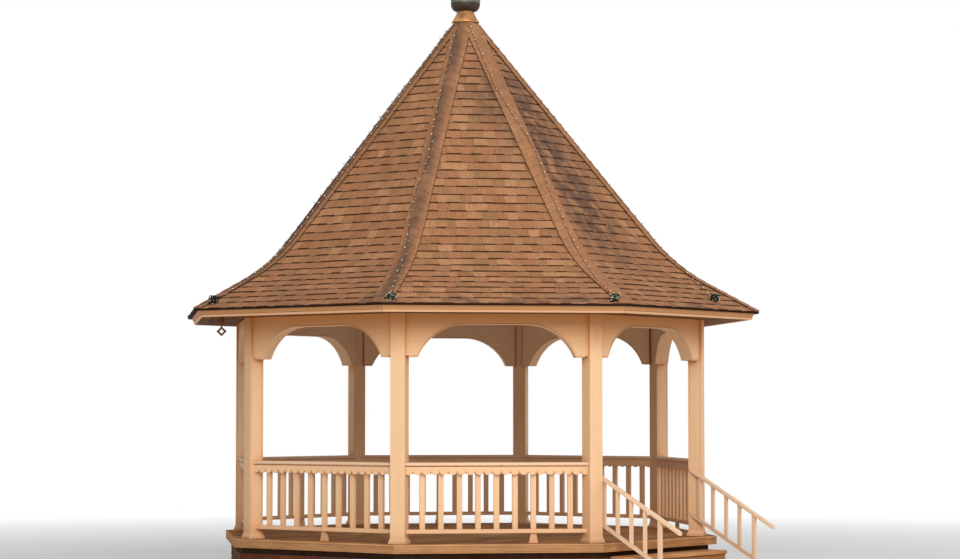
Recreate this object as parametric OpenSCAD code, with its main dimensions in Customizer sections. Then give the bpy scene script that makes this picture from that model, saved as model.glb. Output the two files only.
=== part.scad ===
// An eight-sided timber bandstand with a bell-cast shingle roof.
// Millimetres, +Z up. The origin is on the ground at the middle of the octagon.
// Bay 0 holds the stair and faces -Y. The bays are counted anticlockwise.

/* [Octagon] */
// Distance between the centres of neighbouring posts
bay_width = 2205; // [1800:5:3000]
// Height of the deck above the ground
deck_height = 620; // [500:5:900]

/* [Posts] */
// Side of the square boxed posts
post_size = 170; // [120:1:220]
// Side of the square block at the foot of each post
plinth_size = 206; // [180:1:260]
// Height of the square block at the foot of each post
plinth_block = 42; // [20:1:80]
// Height of the whole plinth, with its flared top
plinth_height = 100; // [60:1:110]

/* [Base] */
// How far the deck rim stands out past the middle of the posts
deck_margin = 228; // [200:1:340]
// Thickness of the deck boards
deck_thick = 32; // [25:1:50]
// Depth of the rim board that hides the edge of the deck
rim_depth = 100; // [70:1:140]
// Thickness of the rim board
rim_thick = 25; // [18:1:40]
// Depth of the dark recess between the rim board and the brickwork
recess_depth = 70; // [40:1:120]
// How far the brickwork is set in behind the rim board
brick_inset = 70; // [40:1:120]
// Thickness of the brick wall
brick_thick = 215; // [100:1:330]
// Side of the brick pier under the middle of the deck
pier_size = 440; // [330:10:660]

/* [Railings] */
// Height of the top of the rail cap above the deck
rail_height = 914; // [800:1:1100]
// Width of the rail cap, across its two round noses
cap_width = 156; // [120:1:158]
// How far the rail cap is set out past the middle of the posts
cap_offset = 6; // [0:1:20]
// Thickness of the rail cap
cap_thick = 40; // [30:1:50]
// Side of the square top rail under the cap
top_rail = 89; // [60:1:110]
// Height of the bottom rail
bottom_rail = 45; // [35:1:70]
// Gap between the deck and the bottom rail
rail_gap = 115; // [102:1:180]
// Width of a baluster, seen from the front
baluster_width = 62; // [30:1:80]
// Thickness of a baluster
baluster_thick = 38; // [20:1:50]
// Number of balusters in a railing
baluster_count = 9; // [7:2:11]
// Distance from the middle of a post to the centre of the nearest baluster
baluster_end = 258; // [200:1:320]
// Width of one scallop of the valance under the rail cap
scallop_pitch = 101; // [80:1:120]
// Depth of a scallop, from its notch to its tip
scallop_depth = 30; // [15:1:40]
// Height of the valance board, from the cap to the tips
valance_height = 100; // [80:1:130]
// Thickness of the valance board
valance_thick = 19; // [12:1:25]

/* [Arches] */
// Height of the flat feet of the arches above the deck
arch_foot = 2100; // [1900:5:2200]
// Height of the flat crown of the arches above the deck
arch_crown = 2470; // [2300:5:2500]
// Radius of the round shoulders of the arches
arch_radius = 600; // [450:5:650]
// Distance from the middle of a post to the start of the arch beside it
arch_inset = 201; // [180:1:320]
// Thickness of the boxed headers
header_thick = 165; // [120:1:170]

/* [Roof] */
// Thickness of the soffit boards
soffit_thick = 19; // [12:1:30]
// Height of the shingle edge at the eave above the deck
eave_height = 2690; // [2680:5:2800]
// How far the shingle edge runs out past the outer face of the headers
eave_reach = 636; // [560:2:760]
// Slope of the flared foot of the roof, in degrees
flare_angle = 30.3; // [26:0.1:34]
// Slope of the steep part of the roof, in degrees
steep_angle = 53.2; // [48:0.1:56]
// Length of the flared foot of the roof, on plan
flare_run = 560; // [480:5:620]
// Length of the curve between the flare and the steep part, on plan
curve_run = 650; // [500:5:800]
// Thickness of the sheathing and shingles together
roof_thick = 40; // [30:1:60]
// Thickness of the hip cap shingles
hip_cap_thick = 12; // [8:1:20]
// Width of the hip cap shingles, seen from above
hip_cap_width = 240; // [180:5:300]
// Depth of the curved rafters
rafter_depth = 140; // [100:5:180]
// Thickness of the curved rafters
rafter_thick = 45; // [38:1:60]
// Length of the fascia boards up the slope of their face
fascia_drop = 83; // [80:1:90]
// Thickness of the fascia boards
fascia_thick = 22; // [18:1:30]
// How far the shingles run out past the fascia
shingle_overhang = 50; // [20:1:55]

/* [Stair] */
// Number of risers between the ground and the deck
riser_count = 4; // [4:1:4]
// Going of one tread
tread_run = 270; // [250:5:300]
// Thickness of the treads
tread_thick = 40; // [30:1:50]
// Distance from the middle of a post to the end of the treads
stair_inset = 112; // [100:1:200]
// Overhang of each tread past the riser board under it
nosing = 25; // [15:1:40]
// Thickness of the riser boards
riser_thick = 20; // [15:1:25]
// Thickness of the stringers
stringer_thick = 38; // [30:1:50]
// Height of the top of the handrail above the deck, at the line of the posts
handrail_height = 797; // [700:1:900]
// Width of the handrail
handrail_width = 64; // [50:1:70]
// Thickness of the handrail
handrail_thick = 38; // [30:1:50]
// Distance between the handrail and the lower rail, top to top
handrail_spread = 530; // [450:5:560]
// Side of the square stair balusters and the lower rail
stair_baluster = 38; // [30:1:44]
// Distance from the line of the posts to the first stair baluster
stair_baluster_start = 103; // [90:1:130]
// Distance between neighbouring stair balusters
stair_baluster_pitch = 184; // [160:1:190]
// Side of the square newels
newel_size = 44; // [40:1:60]
// How far the newels stand in from the front edge of the lowest tread
newel_inset = 182; // [100:1:200]

/* [Lantern] */
// Distance across the flats of the lantern
lantern_width = 352; // [300:2:420]
// Height of the lantern's glazed frame
lantern_height = 450; // [350:5:600]
// Height of the round bowl under the lantern
bowl_height = 106; // [80:1:150]
// Width of the lantern's bars
bar_width = 20; // [12:1:30]
// Radius of the foot of the metal collar on top of the roof
collar_foot = 172; // [160:1:200]
// Radius of the neck of the collar
collar_neck = 104; // [90:1:140]
// Height of the collar
collar_height = 138; // [120:1:180]

/* [Hidden] */
$fn = 48;
paint = [0.93, 0.80, 0.66];
wood = [0.55, 0.42, 0.31];
shingle = [0.48, 0.33, 0.26];
brick = [0.55, 0.25, 0.19];
copper = [0.66, 0.44, 0.24];

bays = 8;
bay_angle = 360 / bays;
half_angle = bay_angle / 2;
post_radius = bay_width / (2 * sin(half_angle));
apothem = post_radius * cos(half_angle);
deck_apothem = apothem + deck_margin;
header_face = apothem + header_thick / 2;
eave_apothem = header_face + eave_reach;
far = 2 * eave_apothem;
sky = 4 * eave_apothem;

// Heights above the ground
deck_top = deck_height;
rim_bottom = deck_top - rim_depth;
brick_top = rim_bottom - recess_depth;
frame_top = deck_top - deck_thick;
cap_bottom = deck_top + rail_height - cap_thick;

// The roof's section across one bay: a flare, an arc and a steep slope
eave_top = deck_top + eave_height;
flare_inner = eave_apothem - flare_run;
curve_inner = flare_inner - curve_run;
arc_radius = (flare_inner - curve_inner) / (sin(steep_angle) - sin(flare_angle));
flare_top = eave_top + (eave_apothem - flare_inner) * tan(flare_angle);
arc_steps = 10;
hub_apothem = 60;

// Air left between neighbours that only rest on each other, and the lap
// of two halves that are one piece
seat_gap = 0.3;
lap = 0.2;

// Slope and place of one step of the curve, a depth under the roof surface
function arc_angle(i) = flare_angle + (steep_angle - flare_angle) * i / arc_steps;
function arc_point(i, depth) = [
    flare_inner - arc_radius * (sin(arc_angle(i)) - sin(flare_angle)) - depth * sin(arc_angle(i)),
    flare_top + arc_radius * (cos(flare_angle) - cos(arc_angle(i))) - depth * cos(arc_angle(i))
];
function eave_point(a, depth) =
    [a, eave_top + (eave_apothem - a) * tan(flare_angle) - depth / cos(flare_angle)];

// Level of the steep part a depth under its surface, at a distance out
function steep_level(a, depth) =
    arc_point(arc_steps, 0)[1] + (curve_inner - a) * tan(steep_angle) - depth / cos(steep_angle);

// A line of points a depth under the roof surface, from the eave to the hub
function roof_line(from_a, depth, to_a) = concat(
    [eave_point(from_a, depth)],
    [for (i = [0 : arc_steps]) arc_point(i, depth)],
    [[to_a, steep_level(to_a, depth)]]
);
function backwards(line) = [for (i = [len(line) - 1 : -1 : 0]) line[i]];

// Where the fascia boards end, under the shingle edge
fascia_top = eave_point(eave_apothem - shingle_overhang, roof_thick);
fascia_across = [cos(flare_angle) * fascia_thick, -sin(flare_angle) * fascia_thick];
fascia_down = [-sin(flare_angle) * fascia_drop, -cos(flare_angle) * fascia_drop];
fascia_back = fascia_top - fascia_across + fascia_down;
soffit_top = fascia_back[1];
soffit_bottom = soffit_top - soffit_thick;

// The headers end in a notch of the rafters that rest on them
rafter_notch = 37;
header_top = eave_point(header_face, roof_thick + rafter_depth)[1] + rafter_notch;

// The collar sits on the hip caps, just clear of them
collar_thick = 5;
collar_plate = 20;
collar_bottom = steep_level((collar_foot - collar_thick) * cos(half_angle), -hip_cap_thick)
    + seat_gap;
collar_top = collar_bottom + collar_height;
king_top = collar_top - collar_plate;

// Centre line of the stair rails, and the level of the handrail's top edge
stair_width = bay_width - 2 * stair_inset;
rail_plane = stair_width / 2 + newel_size / 2;
riser = deck_height / riser_count;
tread_count = riser_count - 1;
rail_angle = atan(riser / tread_run);
rail_let_in = 37;
rail_root = apothem - rail_let_in;
rail_overrun = 90;
function rail_level(y) = deck_top + handrail_height - (y - apothem) * riser / tread_run;

// Turns its children so that +X looks out through the middle of a bay
module face_bay(k) {
    rotate([0, 0, -90 + bay_angle * k]) children();
}

// Turns its children so that +X looks out through a post
module face_post(k) {
    rotate([0, 0, -90 - half_angle + bay_angle * k]) children();
}

// The slice of space that belongs to one bay, held back from its neighbours
// by a gap on each side, or let into them where the gap is negative
module bay_wedge(gap) {
    translate([gap / sin(half_angle), 0, 0]) linear_extrude(sky) polygon([[0, 0],
        [far, -far * tan(half_angle)], [far, far * tan(half_angle)]]);
}

// Sweeps a section, given as distance out and level, across one bay
module across_bay(section, gap = 0) {
    intersection() {
        rotate([90, 0, 0]) linear_extrude(2 * far, center = true) polygon(section);
        bay_wedge(gap);
    }
}

// An octagon with its flats towards the bays
module octagon(a) {
    rotate(half_angle) circle(r = a / cos(half_angle), $fn = bays);
}

module octagon_ring(outer, inner, bottom, top) {
    translate([0, 0, bottom]) linear_extrude(top - bottom) difference() {
        octagon(outer);
        octagon(inner);
    }
}

module block(lo, hi) {
    translate(lo) cube(hi - lo);
}

// One post as a plain block, from the deck to the top of the headers
module post_block() {
    half = post_size / 2;
    block([post_radius - half, -half, deck_top], [post_radius + half, half, header_top]);
}

module all_posts() {
    for (k = [0 : bays - 1]) face_post(k) post_block();
}

// The two posts that stand at the ends of a bay, seen from that bay
module bay_posts() {
    for (side = [-1, 1]) rotate([0, 0, side * half_angle]) post_block();
}

module centre_pier() {
    color(brick) block([-pier_size / 2, -pier_size / 2, 0],
        [pier_size / 2, pier_size / 2, brick_top]);
}

brick_outer = deck_apothem - brick_inset;
module brick_base() {
    color(brick) octagon_ring(brick_outer, brick_outer - brick_thick, 0, brick_top);
}

sill_inset = 30;
sill_width = 140;
module sill_plate() {
    outer = brick_outer - sill_inset;
    color("#3a2c22") octagon_ring(outer, outer - sill_width, brick_top, rim_bottom);
}

// A ring beam on the sill, with joists from it to a cap on the middle pier
joist_thick = 45;
module floor_frame() {
    outer = deck_apothem - rim_thick;
    inner = brick_outer - sill_inset - sill_width;
    hub = pier_size / 2;
    color(wood) union() {
        octagon_ring(outer, inner, rim_bottom, frame_top);
        block([-hub, -hub, brick_top], [hub, hub, frame_top]);
        for (k = [0 : bays - 1]) {
            face_bay(k) block([hub - joist_thick, -joist_thick / 2, rim_bottom],
                [inner + joist_thick, joist_thick / 2, frame_top]);
            face_post(k) block([hub - joist_thick, -joist_thick / 2, rim_bottom],
                [inner + joist_thick, joist_thick / 2, frame_top]);
        }
    }
}

module deck() {
    color(wood) translate([0, 0, frame_top])
        linear_extrude(deck_thick) octagon(deck_apothem - rim_thick);
}

module deck_rim() {
    color("tan") octagon_ring(deck_apothem, deck_apothem - rim_thick, rim_bottom, deck_top);
}

module posts() {
    color(paint) all_posts();
}

// The side of a plinth: a square block with a flared top
module plinth_side() {
    wide = plinth_size / 2;
    narrow = post_size / 2;
    lip = 6;
    rotate([90, 0, 0]) linear_extrude(2 * plinth_size, center = true) polygon([
        [-wide, 0], [wide, 0], [wide, plinth_block],
        [narrow + lip, plinth_height - lip], [narrow + lip, plinth_height],
        [-narrow - lip, plinth_height], [-narrow - lip, plinth_height - lip],
        [-wide, plinth_block]
    ]);
}

module post_plinths() {
    color(paint) for (k = [0 : bays - 1]) face_post(k) difference() {
        translate([post_radius, 0, deck_top]) intersection() {
            plinth_side();
            rotate([0, 0, 90]) plinth_side();
        }
        post_block();
    }
}

// The opening under an arched header, as a flat shape: round shoulders and a
// flat crown, with its foot a little below the feet of the header
module arch_opening() {
    steps = 18;
    foot_level = arch_foot - 5;
    middle = arch_crown - arch_radius;
    side = bay_width / 2 - arch_inset;
    arch_flat = side - sqrt(pow(arch_radius, 2) - pow(arch_foot - middle, 2));
    start = asin((foot_level - middle) / arch_radius);
    shoulder = [for (i = [0:steps]) let (turn = start + (90 - start) * i / steps)
        [arch_flat + arch_radius * cos(turn), middle + arch_radius * sin(turn)]];
    polygon(concat(shoulder, [for (i = [steps:-1:0]) [-shoulder[i][0], shoulder[i][1]]]));
}

// A boxed header with flat feet at the posts and a flat-topped arch
module header(k) {
    color(paint) face_bay(k) difference() {
        translate([apothem - header_thick / 2, 0, deck_top]) rotate([90, 0, 90])
            linear_extrude(header_thick) difference() {
                translate([-bay_width / 2, arch_foot])
                    square([bay_width, header_top - deck_top - arch_foot]);
                arch_opening();
            }
        bay_posts();
    }
}

// One baluster, from the bottom rail to the top rail
baluster_pitch = (bay_width - 2 * baluster_end) / (baluster_count - 1);
baluster_bottom = deck_top + rail_gap + bottom_rail;
baluster_top = cap_bottom - top_rail;
module baluster(place) {
    block([apothem - baluster_thick / 2, place - baluster_width / 2, baluster_bottom],
        [apothem + baluster_thick / 2, place + baluster_width / 2, baluster_top]);
}

// The little flared foot that holds the bottom rail off the deck
foot_width = 66;
foot_flare = 100;
foot_block = 40;
module rail_foot(place) {
    translate([apothem, place, deck_top]) rotate([90, 0, 90])
        linear_extrude(baluster_thick, center = true) polygon([
            [-foot_flare / 2, 0], [foot_flare / 2, 0], [foot_flare / 2, foot_block / 2],
            [foot_width / 2, foot_block], [foot_width / 2, rail_gap],
            [-foot_width / 2, rail_gap], [-foot_width / 2, foot_block],
            [-foot_flare / 2, foot_block / 2]
        ]);
}

// A straight rail across a bay, cut off at the posts
module rail_across(width, bottom, top) {
    difference() {
        block([apothem - width / 2, -bay_width / 2, bottom],
            [apothem + width / 2, bay_width / 2, top]);
        bay_posts();
    }
}

// The foot stands mid-bay, and in bay 7 under the seventh baluster
function foot_place(k) = k == 7 ? 2 * baluster_pitch : 0;
module railing(k) {
    reach = (baluster_count - 1) / 2;
    color(paint) face_bay(k) union() {
        rail_across(top_rail, baluster_top, cap_bottom);
        rail_across(top_rail, deck_top + rail_gap, baluster_bottom);
        for (i = [-reach : reach]) baluster(i * baluster_pitch);
        rail_foot(foot_place(k));
    }
}

// A rail cap with a round nose on both sides
module rail_cap() {
    nose = cap_thick / 2;
    flat = cap_width / 2 - nose;
    difference() {
        translate([apothem + cap_offset, 0, cap_bottom + nose]) rotate([90, 0, 0])
            linear_extrude(bay_width, center = true) {
                square([2 * flat, cap_thick], center = true);
                for (x = [-flat, flat]) translate([x, 0]) circle(nose);
            }
        bay_posts();
    }
}

module rail_caps() {
    color(paint) for (k = [1 : bays - 1]) face_bay(k) rail_cap();
}

// A board with a row of round scallops along its lower edge
scallop_radius = (pow(scallop_pitch / 2, 2) + pow(scallop_depth, 2)) / (2 * scallop_depth);
scallop_reach = floor(bay_width / 2 / scallop_pitch);
module scalloped_valance() {
    face = apothem + top_rail / 2;
    tips = cap_bottom - valance_height;
    difference() {
        translate([face, 0, 0]) rotate([90, 0, 90]) linear_extrude(valance_thick) union() {
            translate([-bay_width / 2, tips + scallop_depth])
                square([bay_width, valance_height - scallop_depth]);
            for (i = [-scallop_reach : scallop_reach]) translate([i * scallop_pitch, tips])
                intersection() {
                    translate([0, scallop_radius]) circle(scallop_radius);
                    translate([-scallop_pitch / 2, 0]) square([scallop_pitch, scallop_depth + 1]);
                }
        }
        bay_posts();
    }
}

module scalloped_valances() {
    color(paint) for (k = [1 : bays - 1]) face_bay(k) scalloped_valance();
}

// Where the front edge of a tread is, counted down from the deck
tread_gap = 10;
function tread_front(i) = deck_apothem + tread_run * i;
function tread_back(i) = i == 1 ? brick_outer + tread_gap
    : tread_front(i - 1) - nosing - riser_thick;
function tread_top(i) = deck_top - riser * i;

module stair_treads() {
    half = stair_width / 2;
    color(wood) face_bay(0) for (i = [1 : tread_count])
        block([tread_back(i), -half, tread_top(i) - tread_thick],
            [tread_front(i), half, tread_top(i)]);
}

module stair_risers() {
    half = stair_width / 2;
    color(wood) face_bay(0) for (i = [1 : tread_count])
        block([tread_back(i + 1), -half, tread_top(i + 1)],
            [tread_back(i + 1) + riser_thick, half, tread_top(i) - tread_thick]);
}

// A sawn stringer, from the brickwork down to the ground
stringer_heel = 320;
stringer_back = 190;
module stringer() {
    steps = [for (i = [1 : tread_count], j = [0, 1])
        j == 0 ? [i == 1 ? brick_outer : tread_back(i), tread_top(i) - tread_thick]
            : [tread_back(i + 1), tread_top(i) - tread_thick]];
    foot = tread_back(tread_count + 1);
    rotate([90, 0, 0]) linear_extrude(stringer_thick, center = true) polygon(concat(
        steps, [[foot, 0], [foot - stringer_heel, 0], [brick_outer, stringer_back]]));
}

module stair_stringers() {
    outer = (stair_width - stringer_thick) / 2;
    color(wood) face_bay(0) for (y = [-outer, 0, outer]) translate([0, y, 0]) stringer();
}

// A bar that follows the slope of the stair, given by its top edge
module sloping_bar(width, thick, drop, from_y, to_y) {
    deep = thick / cos(rail_angle);
    rotate([90, 0, 0]) linear_extrude(width, center = true) polygon([
        [from_y, rail_level(from_y) - drop], [to_y, rail_level(to_y) - drop],
        [to_y, rail_level(to_y) - drop - deep], [from_y, rail_level(from_y) - drop - deep]
    ]);
}

// An upright between two sloping bars, or from the ground when it is a newel
module stair_upright(place, size, from_ground) {
    deep = handrail_thick / cos(rail_angle);
    rotate([90, 0, 0]) linear_extrude(size, center = true) polygon([
        [place - size / 2, from_ground ? 0 : rail_level(place - size / 2) - handrail_spread],
        [place + size / 2, from_ground ? 0 : rail_level(place + size / 2) - handrail_spread],
        [place + size / 2, rail_level(place + size / 2) - deep],
        [place - size / 2, rail_level(place - size / 2) - deep]
    ]);
}

// One stair rail, on the side given by -1 or 1, butted against its post
newel_place = tread_front(tread_count) - newel_inset;
rail_end = tread_front(tread_count) + rail_overrun;
stair_baluster_count = 4;
module stair_rail(side) {
    color(paint) face_bay(0) difference() {
        translate([0, side * rail_plane, 0]) union() {
            sloping_bar(handrail_width, handrail_thick, 0, rail_root, rail_end);
            sloping_bar(stair_baluster, stair_baluster, handrail_spread,
                rail_root, newel_place);
            for (i = [0 : stair_baluster_count - 1])
                stair_upright(apothem + stair_baluster_start + i * stair_baluster_pitch,
                    stair_baluster, false);
            stair_upright(newel_place, newel_size, true);
        }
        bay_posts();
    }
}

// The shape of a rafter over one bay, between two depths under the roof
fascia_gap = 4;
rafter_end = fascia_top[0] - fascia_thick / cos(flare_angle) - fascia_gap;
tail_cut = 36;
module rafter_layer(k) {
    face_bay(k) across_bay(concat(
        roof_line(rafter_end, roof_thick + seat_gap, hub_apothem - 1),
        backwards(roof_line(rafter_end - tail_cut, roof_thick + rafter_depth,
            hub_apothem - 1))), -lap);
}

module rafter_slab() {
    block([0, -rafter_thick / 2, soffit_top], [far, rafter_thick / 2, sky]);
}

// Curved rafters under the hips and mid-bay, notched over the headers and
// posts, and joined by a king post
king_length = 1440;
module rafters() {
    color(wood) union() {
        difference() {
            for (k = [0 : bays - 1]) intersection() {
                rafter_layer(k);
                union() {
                    face_bay(k) rafter_slab();
                    face_post(k) rafter_slab();
                    face_post(k + 1) rafter_slab();
                }
            }
            octagon_ring(header_face, apothem - header_thick / 2, deck_top, header_top);
            all_posts();
        }
        translate([0, 0, king_top - king_length]) linear_extrude(king_length)
            octagon(hub_apothem);
    }
}

// Level soffit boards from the headers out to the fascia
soffit_gap = 1;
module soffit() {
    outer = fascia_back[0] - soffit_gap;
    color("#4a3a2e") difference() {
        octagon_ring(outer, header_face, soffit_bottom, soffit_top);
        all_posts();
    }
}

// Fascia boards, square to the slope of the roof
module fascia() {
    color(paint) for (k = [0 : bays - 1]) face_bay(k) across_bay([
        fascia_top, fascia_top - fascia_across, fascia_back, fascia_top + fascia_down],
        seat_gap);
}

module roof_panel(k) {
    color(shingle) face_bay(k) across_bay(concat(
        roof_line(eave_apothem, 0, hub_apothem),
        backwards(roof_line(eave_apothem - roof_thick * sin(flare_angle), roof_thick,
            hub_apothem))));
}

// Strips of bent shingles over the hips, ending under the collar
hip_cap_end = 90;
module hip_caps() {
    color(shingle) union() for (k = [0 : bays - 1]) intersection() {
        face_bay(k) across_bay(concat(
            roof_line(eave_apothem, -hip_cap_thick, hip_cap_end),
            backwards(roof_line(eave_apothem, -seat_gap, hip_cap_end))), -lap);
        for (j = [k, k + 1]) face_post(j)
            block([0, -hip_cap_width / 2, deck_top], [far, hip_cap_width / 2, sky]);
    }
}

// A line of points over one hip, a height above the roof surface, that ends
// just outside the collar
string_end = collar_foot + 10;
function hip_line(height) = [for (p = roof_line(eave_apothem, -height, string_end))
    [p[0] / cos(half_angle), p[1]]];

// Strings of small lamps along the hips, each with its slack bunched at the eave
wire_thick = 6;
bunch_radius = 42;
bunch_length = 150;
bunch_inset = 90;
hip_angle = atan(tan(flare_angle) * cos(half_angle));
bunch_level = eave_top + bunch_inset * tan(hip_angle) + hip_cap_thick / cos(flare_angle)
    + bunch_radius / cos(hip_angle);
module light_string() {
    rotate([90, 0, 0]) linear_extrude(wire_thick, center = true) polygon(concat(
        hip_line(hip_cap_thick), backwards(hip_line(hip_cap_thick + wire_thick))));
    translate([eave_apothem / cos(half_angle) - bunch_inset, 0, bunch_level])
        rotate([90, 0, 0]) cylinder(r = bunch_radius, h = bunch_length, center = true, $fn = 24);
}

module light_strings() {
    color("darkgreen") for (k = [0 : bays - 1]) face_post(k) light_string();
}

// A spun metal collar over the top of the roof
module roof_collar() {
    color(copper) rotate_extrude() polygon([
        [0, king_top], [0, collar_top], [collar_neck, collar_top],
        [collar_foot, collar_bottom], [collar_foot - collar_thick, collar_bottom],
        [collar_neck - collar_thick, king_top]
    ]);
}

// A round bowl that carries the lantern
bowl_foot = collar_neck - 4;
bowl_rim = lantern_width / 2 + 6;
bowl_top = collar_top + bowl_height;
module lantern_bowl() {
    steps = 12;
    color("#3b342c") translate([0, 0, collar_top]) rotate_extrude() polygon(concat(
        [[0, bowl_height], [0, 0]],
        [for (i = [0 : steps]) [bowl_foot + (bowl_rim - bowl_foot) * sin(90 * i / steps),
            bowl_height * (1 - cos(90 * i / steps))]]));
}

// An eight-sided frame of flat bars
frame_thick = 12;
module lantern_frame() {
    outer = lantern_width / 2;
    inner = outer - frame_thick;
    top = bowl_top + lantern_height;
    color("#5b6a62") union() {
        octagon_ring(outer, inner, bowl_top, bowl_top + bar_width);
        octagon_ring(outer, inner, top - bar_width, top);
        intersection() {
            octagon_ring(outer, inner, bowl_top, top);
            for (k = [0 : bays - 1]) face_post(k)
                block([0, -bar_width / 2, bowl_top], [far, bar_width / 2, top]);
        }
    }
}

glass_thick = 4;
module lantern_glass() {
    outer = lantern_width / 2 - frame_thick;
    color([0.75, 0.8, 0.75, 0.5])
        octagon_ring(outer, outer - glass_thick, bowl_top, bowl_top + lantern_height);
}

// A bell-shaped cap with a ball on top
cap_overhang = 34;
cap_rim = lantern_width / 2 + cap_overhang;
cap_edge = 14;
cap_rise = 190;
cap_neck = 16;
cap_stub = 12;
ball_radius = 34;
module lantern_cap() {
    steps = 12;
    neck_top = cap_rise + cap_stub;
    color(copper) translate([0, 0, bowl_top + lantern_height]) {
        rotate_extrude() polygon(concat(
            [[0, 0], [cap_rim, 0], [cap_rim, cap_edge]],
            [for (i = [1 : steps]) [cap_neck + (cap_rim - cap_neck) * (1 - sin(90 * i / steps)),
                cap_edge + (cap_rise - cap_edge) * (1 - cos(90 * i / steps))]],
            [[cap_neck, neck_top], [0, neck_top]]));
        translate([0, 0, cap_rise + ball_radius]) sphere(ball_radius);
    }
}

centre_pier();
brick_base();
sill_plate();
floor_frame();
deck();
deck_rim();
posts();
post_plinths();
header(0);  // header_1
header(1);  // header_2
header(2);  // header_3
header(3);  // header_4
header(4);  // header_5
header(5);  // header_6
header(6);  // header_7
header(7);  // header_8
railing(1);  // railing_2
railing(2);  // railing_3
railing(3);  // railing_4
railing(4);  // railing_5
railing(5);  // railing_6
railing(6);  // railing_7
railing(7);  // railing_8
rail_caps();
scalloped_valances();
stair_stringers();
stair_treads();
stair_risers();
stair_rail(-1);  // stair_rail_left
stair_rail(1);  // stair_rail_right
rafters();
soffit();
fascia();
roof_panel(0);  // roof_panel_1
roof_panel(1);  // roof_panel_2
roof_panel(2);  // roof_panel_3
roof_panel(3);  // roof_panel_4
roof_panel(4);  // roof_panel_5
roof_panel(5);  // roof_panel_6
roof_panel(6);  // roof_panel_7
roof_panel(7);  // roof_panel_8
hip_caps();
light_strings();
roof_collar();
lantern_bowl();
lantern_frame();
lantern_glass();
lantern_cap();
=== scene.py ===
"""The looks of an octagonal timber bandstand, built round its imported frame.

Boards, bricks, shingles and lamps are worked out as numpy arrays in the frame of one bay (out, across,
up) and turned into place. Every solid carries its own grain and tone for the materials.
"""

import math

import bpy
import numpy as np
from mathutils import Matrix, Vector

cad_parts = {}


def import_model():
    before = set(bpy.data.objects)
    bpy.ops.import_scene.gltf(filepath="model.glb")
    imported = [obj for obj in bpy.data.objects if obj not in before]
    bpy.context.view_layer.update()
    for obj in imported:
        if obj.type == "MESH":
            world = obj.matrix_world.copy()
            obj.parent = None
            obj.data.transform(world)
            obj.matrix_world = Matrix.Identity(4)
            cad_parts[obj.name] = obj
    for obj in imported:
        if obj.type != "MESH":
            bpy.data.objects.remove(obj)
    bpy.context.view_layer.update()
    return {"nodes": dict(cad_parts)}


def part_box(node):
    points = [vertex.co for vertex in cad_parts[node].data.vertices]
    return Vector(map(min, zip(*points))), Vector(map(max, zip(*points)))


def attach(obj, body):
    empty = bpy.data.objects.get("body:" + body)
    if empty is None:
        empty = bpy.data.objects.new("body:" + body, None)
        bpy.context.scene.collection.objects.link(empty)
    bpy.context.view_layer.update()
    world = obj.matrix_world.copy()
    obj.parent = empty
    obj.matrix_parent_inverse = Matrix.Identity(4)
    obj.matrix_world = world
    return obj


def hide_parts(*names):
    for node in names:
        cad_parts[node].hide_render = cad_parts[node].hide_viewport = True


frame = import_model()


def far_edge(node):
    """How far one of the frame's nodes reaches along +Y, to a hundredth of a millimetre."""
    return round(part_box(node)[1].y, 5)


def top_of(node):
    """Highest level of a node, to a tenth of a millimetre."""
    return round(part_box(node)[1].z, 4)


def foot_of(node):
    """Lowest level of a node, to a tenth of a millimetre."""
    return round(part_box(node)[0].z, 4)


# Plan, in metres: lengths are measured out from the middle to the flat of the octagon
BAYS = range(8)
RAILED = range(1, 8)
CORNERS = [k - 0.5 for k in BAYS]
HALF_BAY = math.radians(22.5)
TAN, COS, SIN = math.tan(HALF_BAY), math.cos(HALF_BAY), math.sin(HALF_BAY)
TOP_RAIL = 0.089
APOTHEM = far_edge("railing_5") - TOP_RAIL / 2
POST_RADIUS = APOTHEM / COS
POST = 0.170
IN_POST = 1.06
DECK_EDGE = far_edge("deck_rim")
RIM_THICK = 0.025
BRICK_FACE = far_edge("brick_base")
HEADER_FACE = far_edge("header_5")
HEADER_THICK = 0.165
BOARD = 0.019

# Levels, in metres above the ground
DECK = top_of("deck")
RIM_BOTTOM = foot_of("deck_rim")
BRICK_TOP = top_of("brick_base")
HEADER_TOP = top_of("header_1")
CAP_BOTTOM = foot_of("rail_caps")

# Roof: a straight flare, an arc and a straight steep part, from the eave up
EAVE = far_edge("roof_panel_5")
EAVE_TOP = DECK + 2.690
FLARE = math.radians(30.3)
STEEP = math.radians(53.2)
FLARE_RUN = 0.560
CURVE_RUN = 0.650
ROOF_END = 0.09
FLARE_LENGTH = FLARE_RUN / math.cos(FLARE)
ARC_RADIUS = CURVE_RUN / (math.sin(STEEP) - math.sin(FLARE))
ARC_LENGTH = ARC_RADIUS * (STEEP - FLARE)
STEEP_LENGTH = (EAVE - FLARE_RUN - CURVE_RUN - ROOF_END) / math.cos(STEEP)
ROOF_RUN = FLARE_LENGTH + ARC_LENGTH + STEEP_LENGTH
EXPOSURE = 0.1285
HIP_STEP = 0.140
HIP_HALF = 0.119
HIP_CAP_THICK = 0.012

# Lantern, in metres
COLLAR_FOOT = 0.172
COLLAR_NECK = 0.104
COLLAR_BOTTOM = foot_of("roof_collar")
COLLAR_TOP = top_of("roof_collar")
BOWL_TOP = top_of("lantern_bowl")
LANTERN_TOP = top_of("lantern_frame")
LANTERN_FACE = far_edge("lantern_frame")
TOP_OF_ALL = top_of("lantern_cap")


def join(*columns):
    """Columns of numbers, or single numbers, brought to one shape and set side by side as points."""
    return np.stack(np.broadcast_arrays(*columns), -1)


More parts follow.
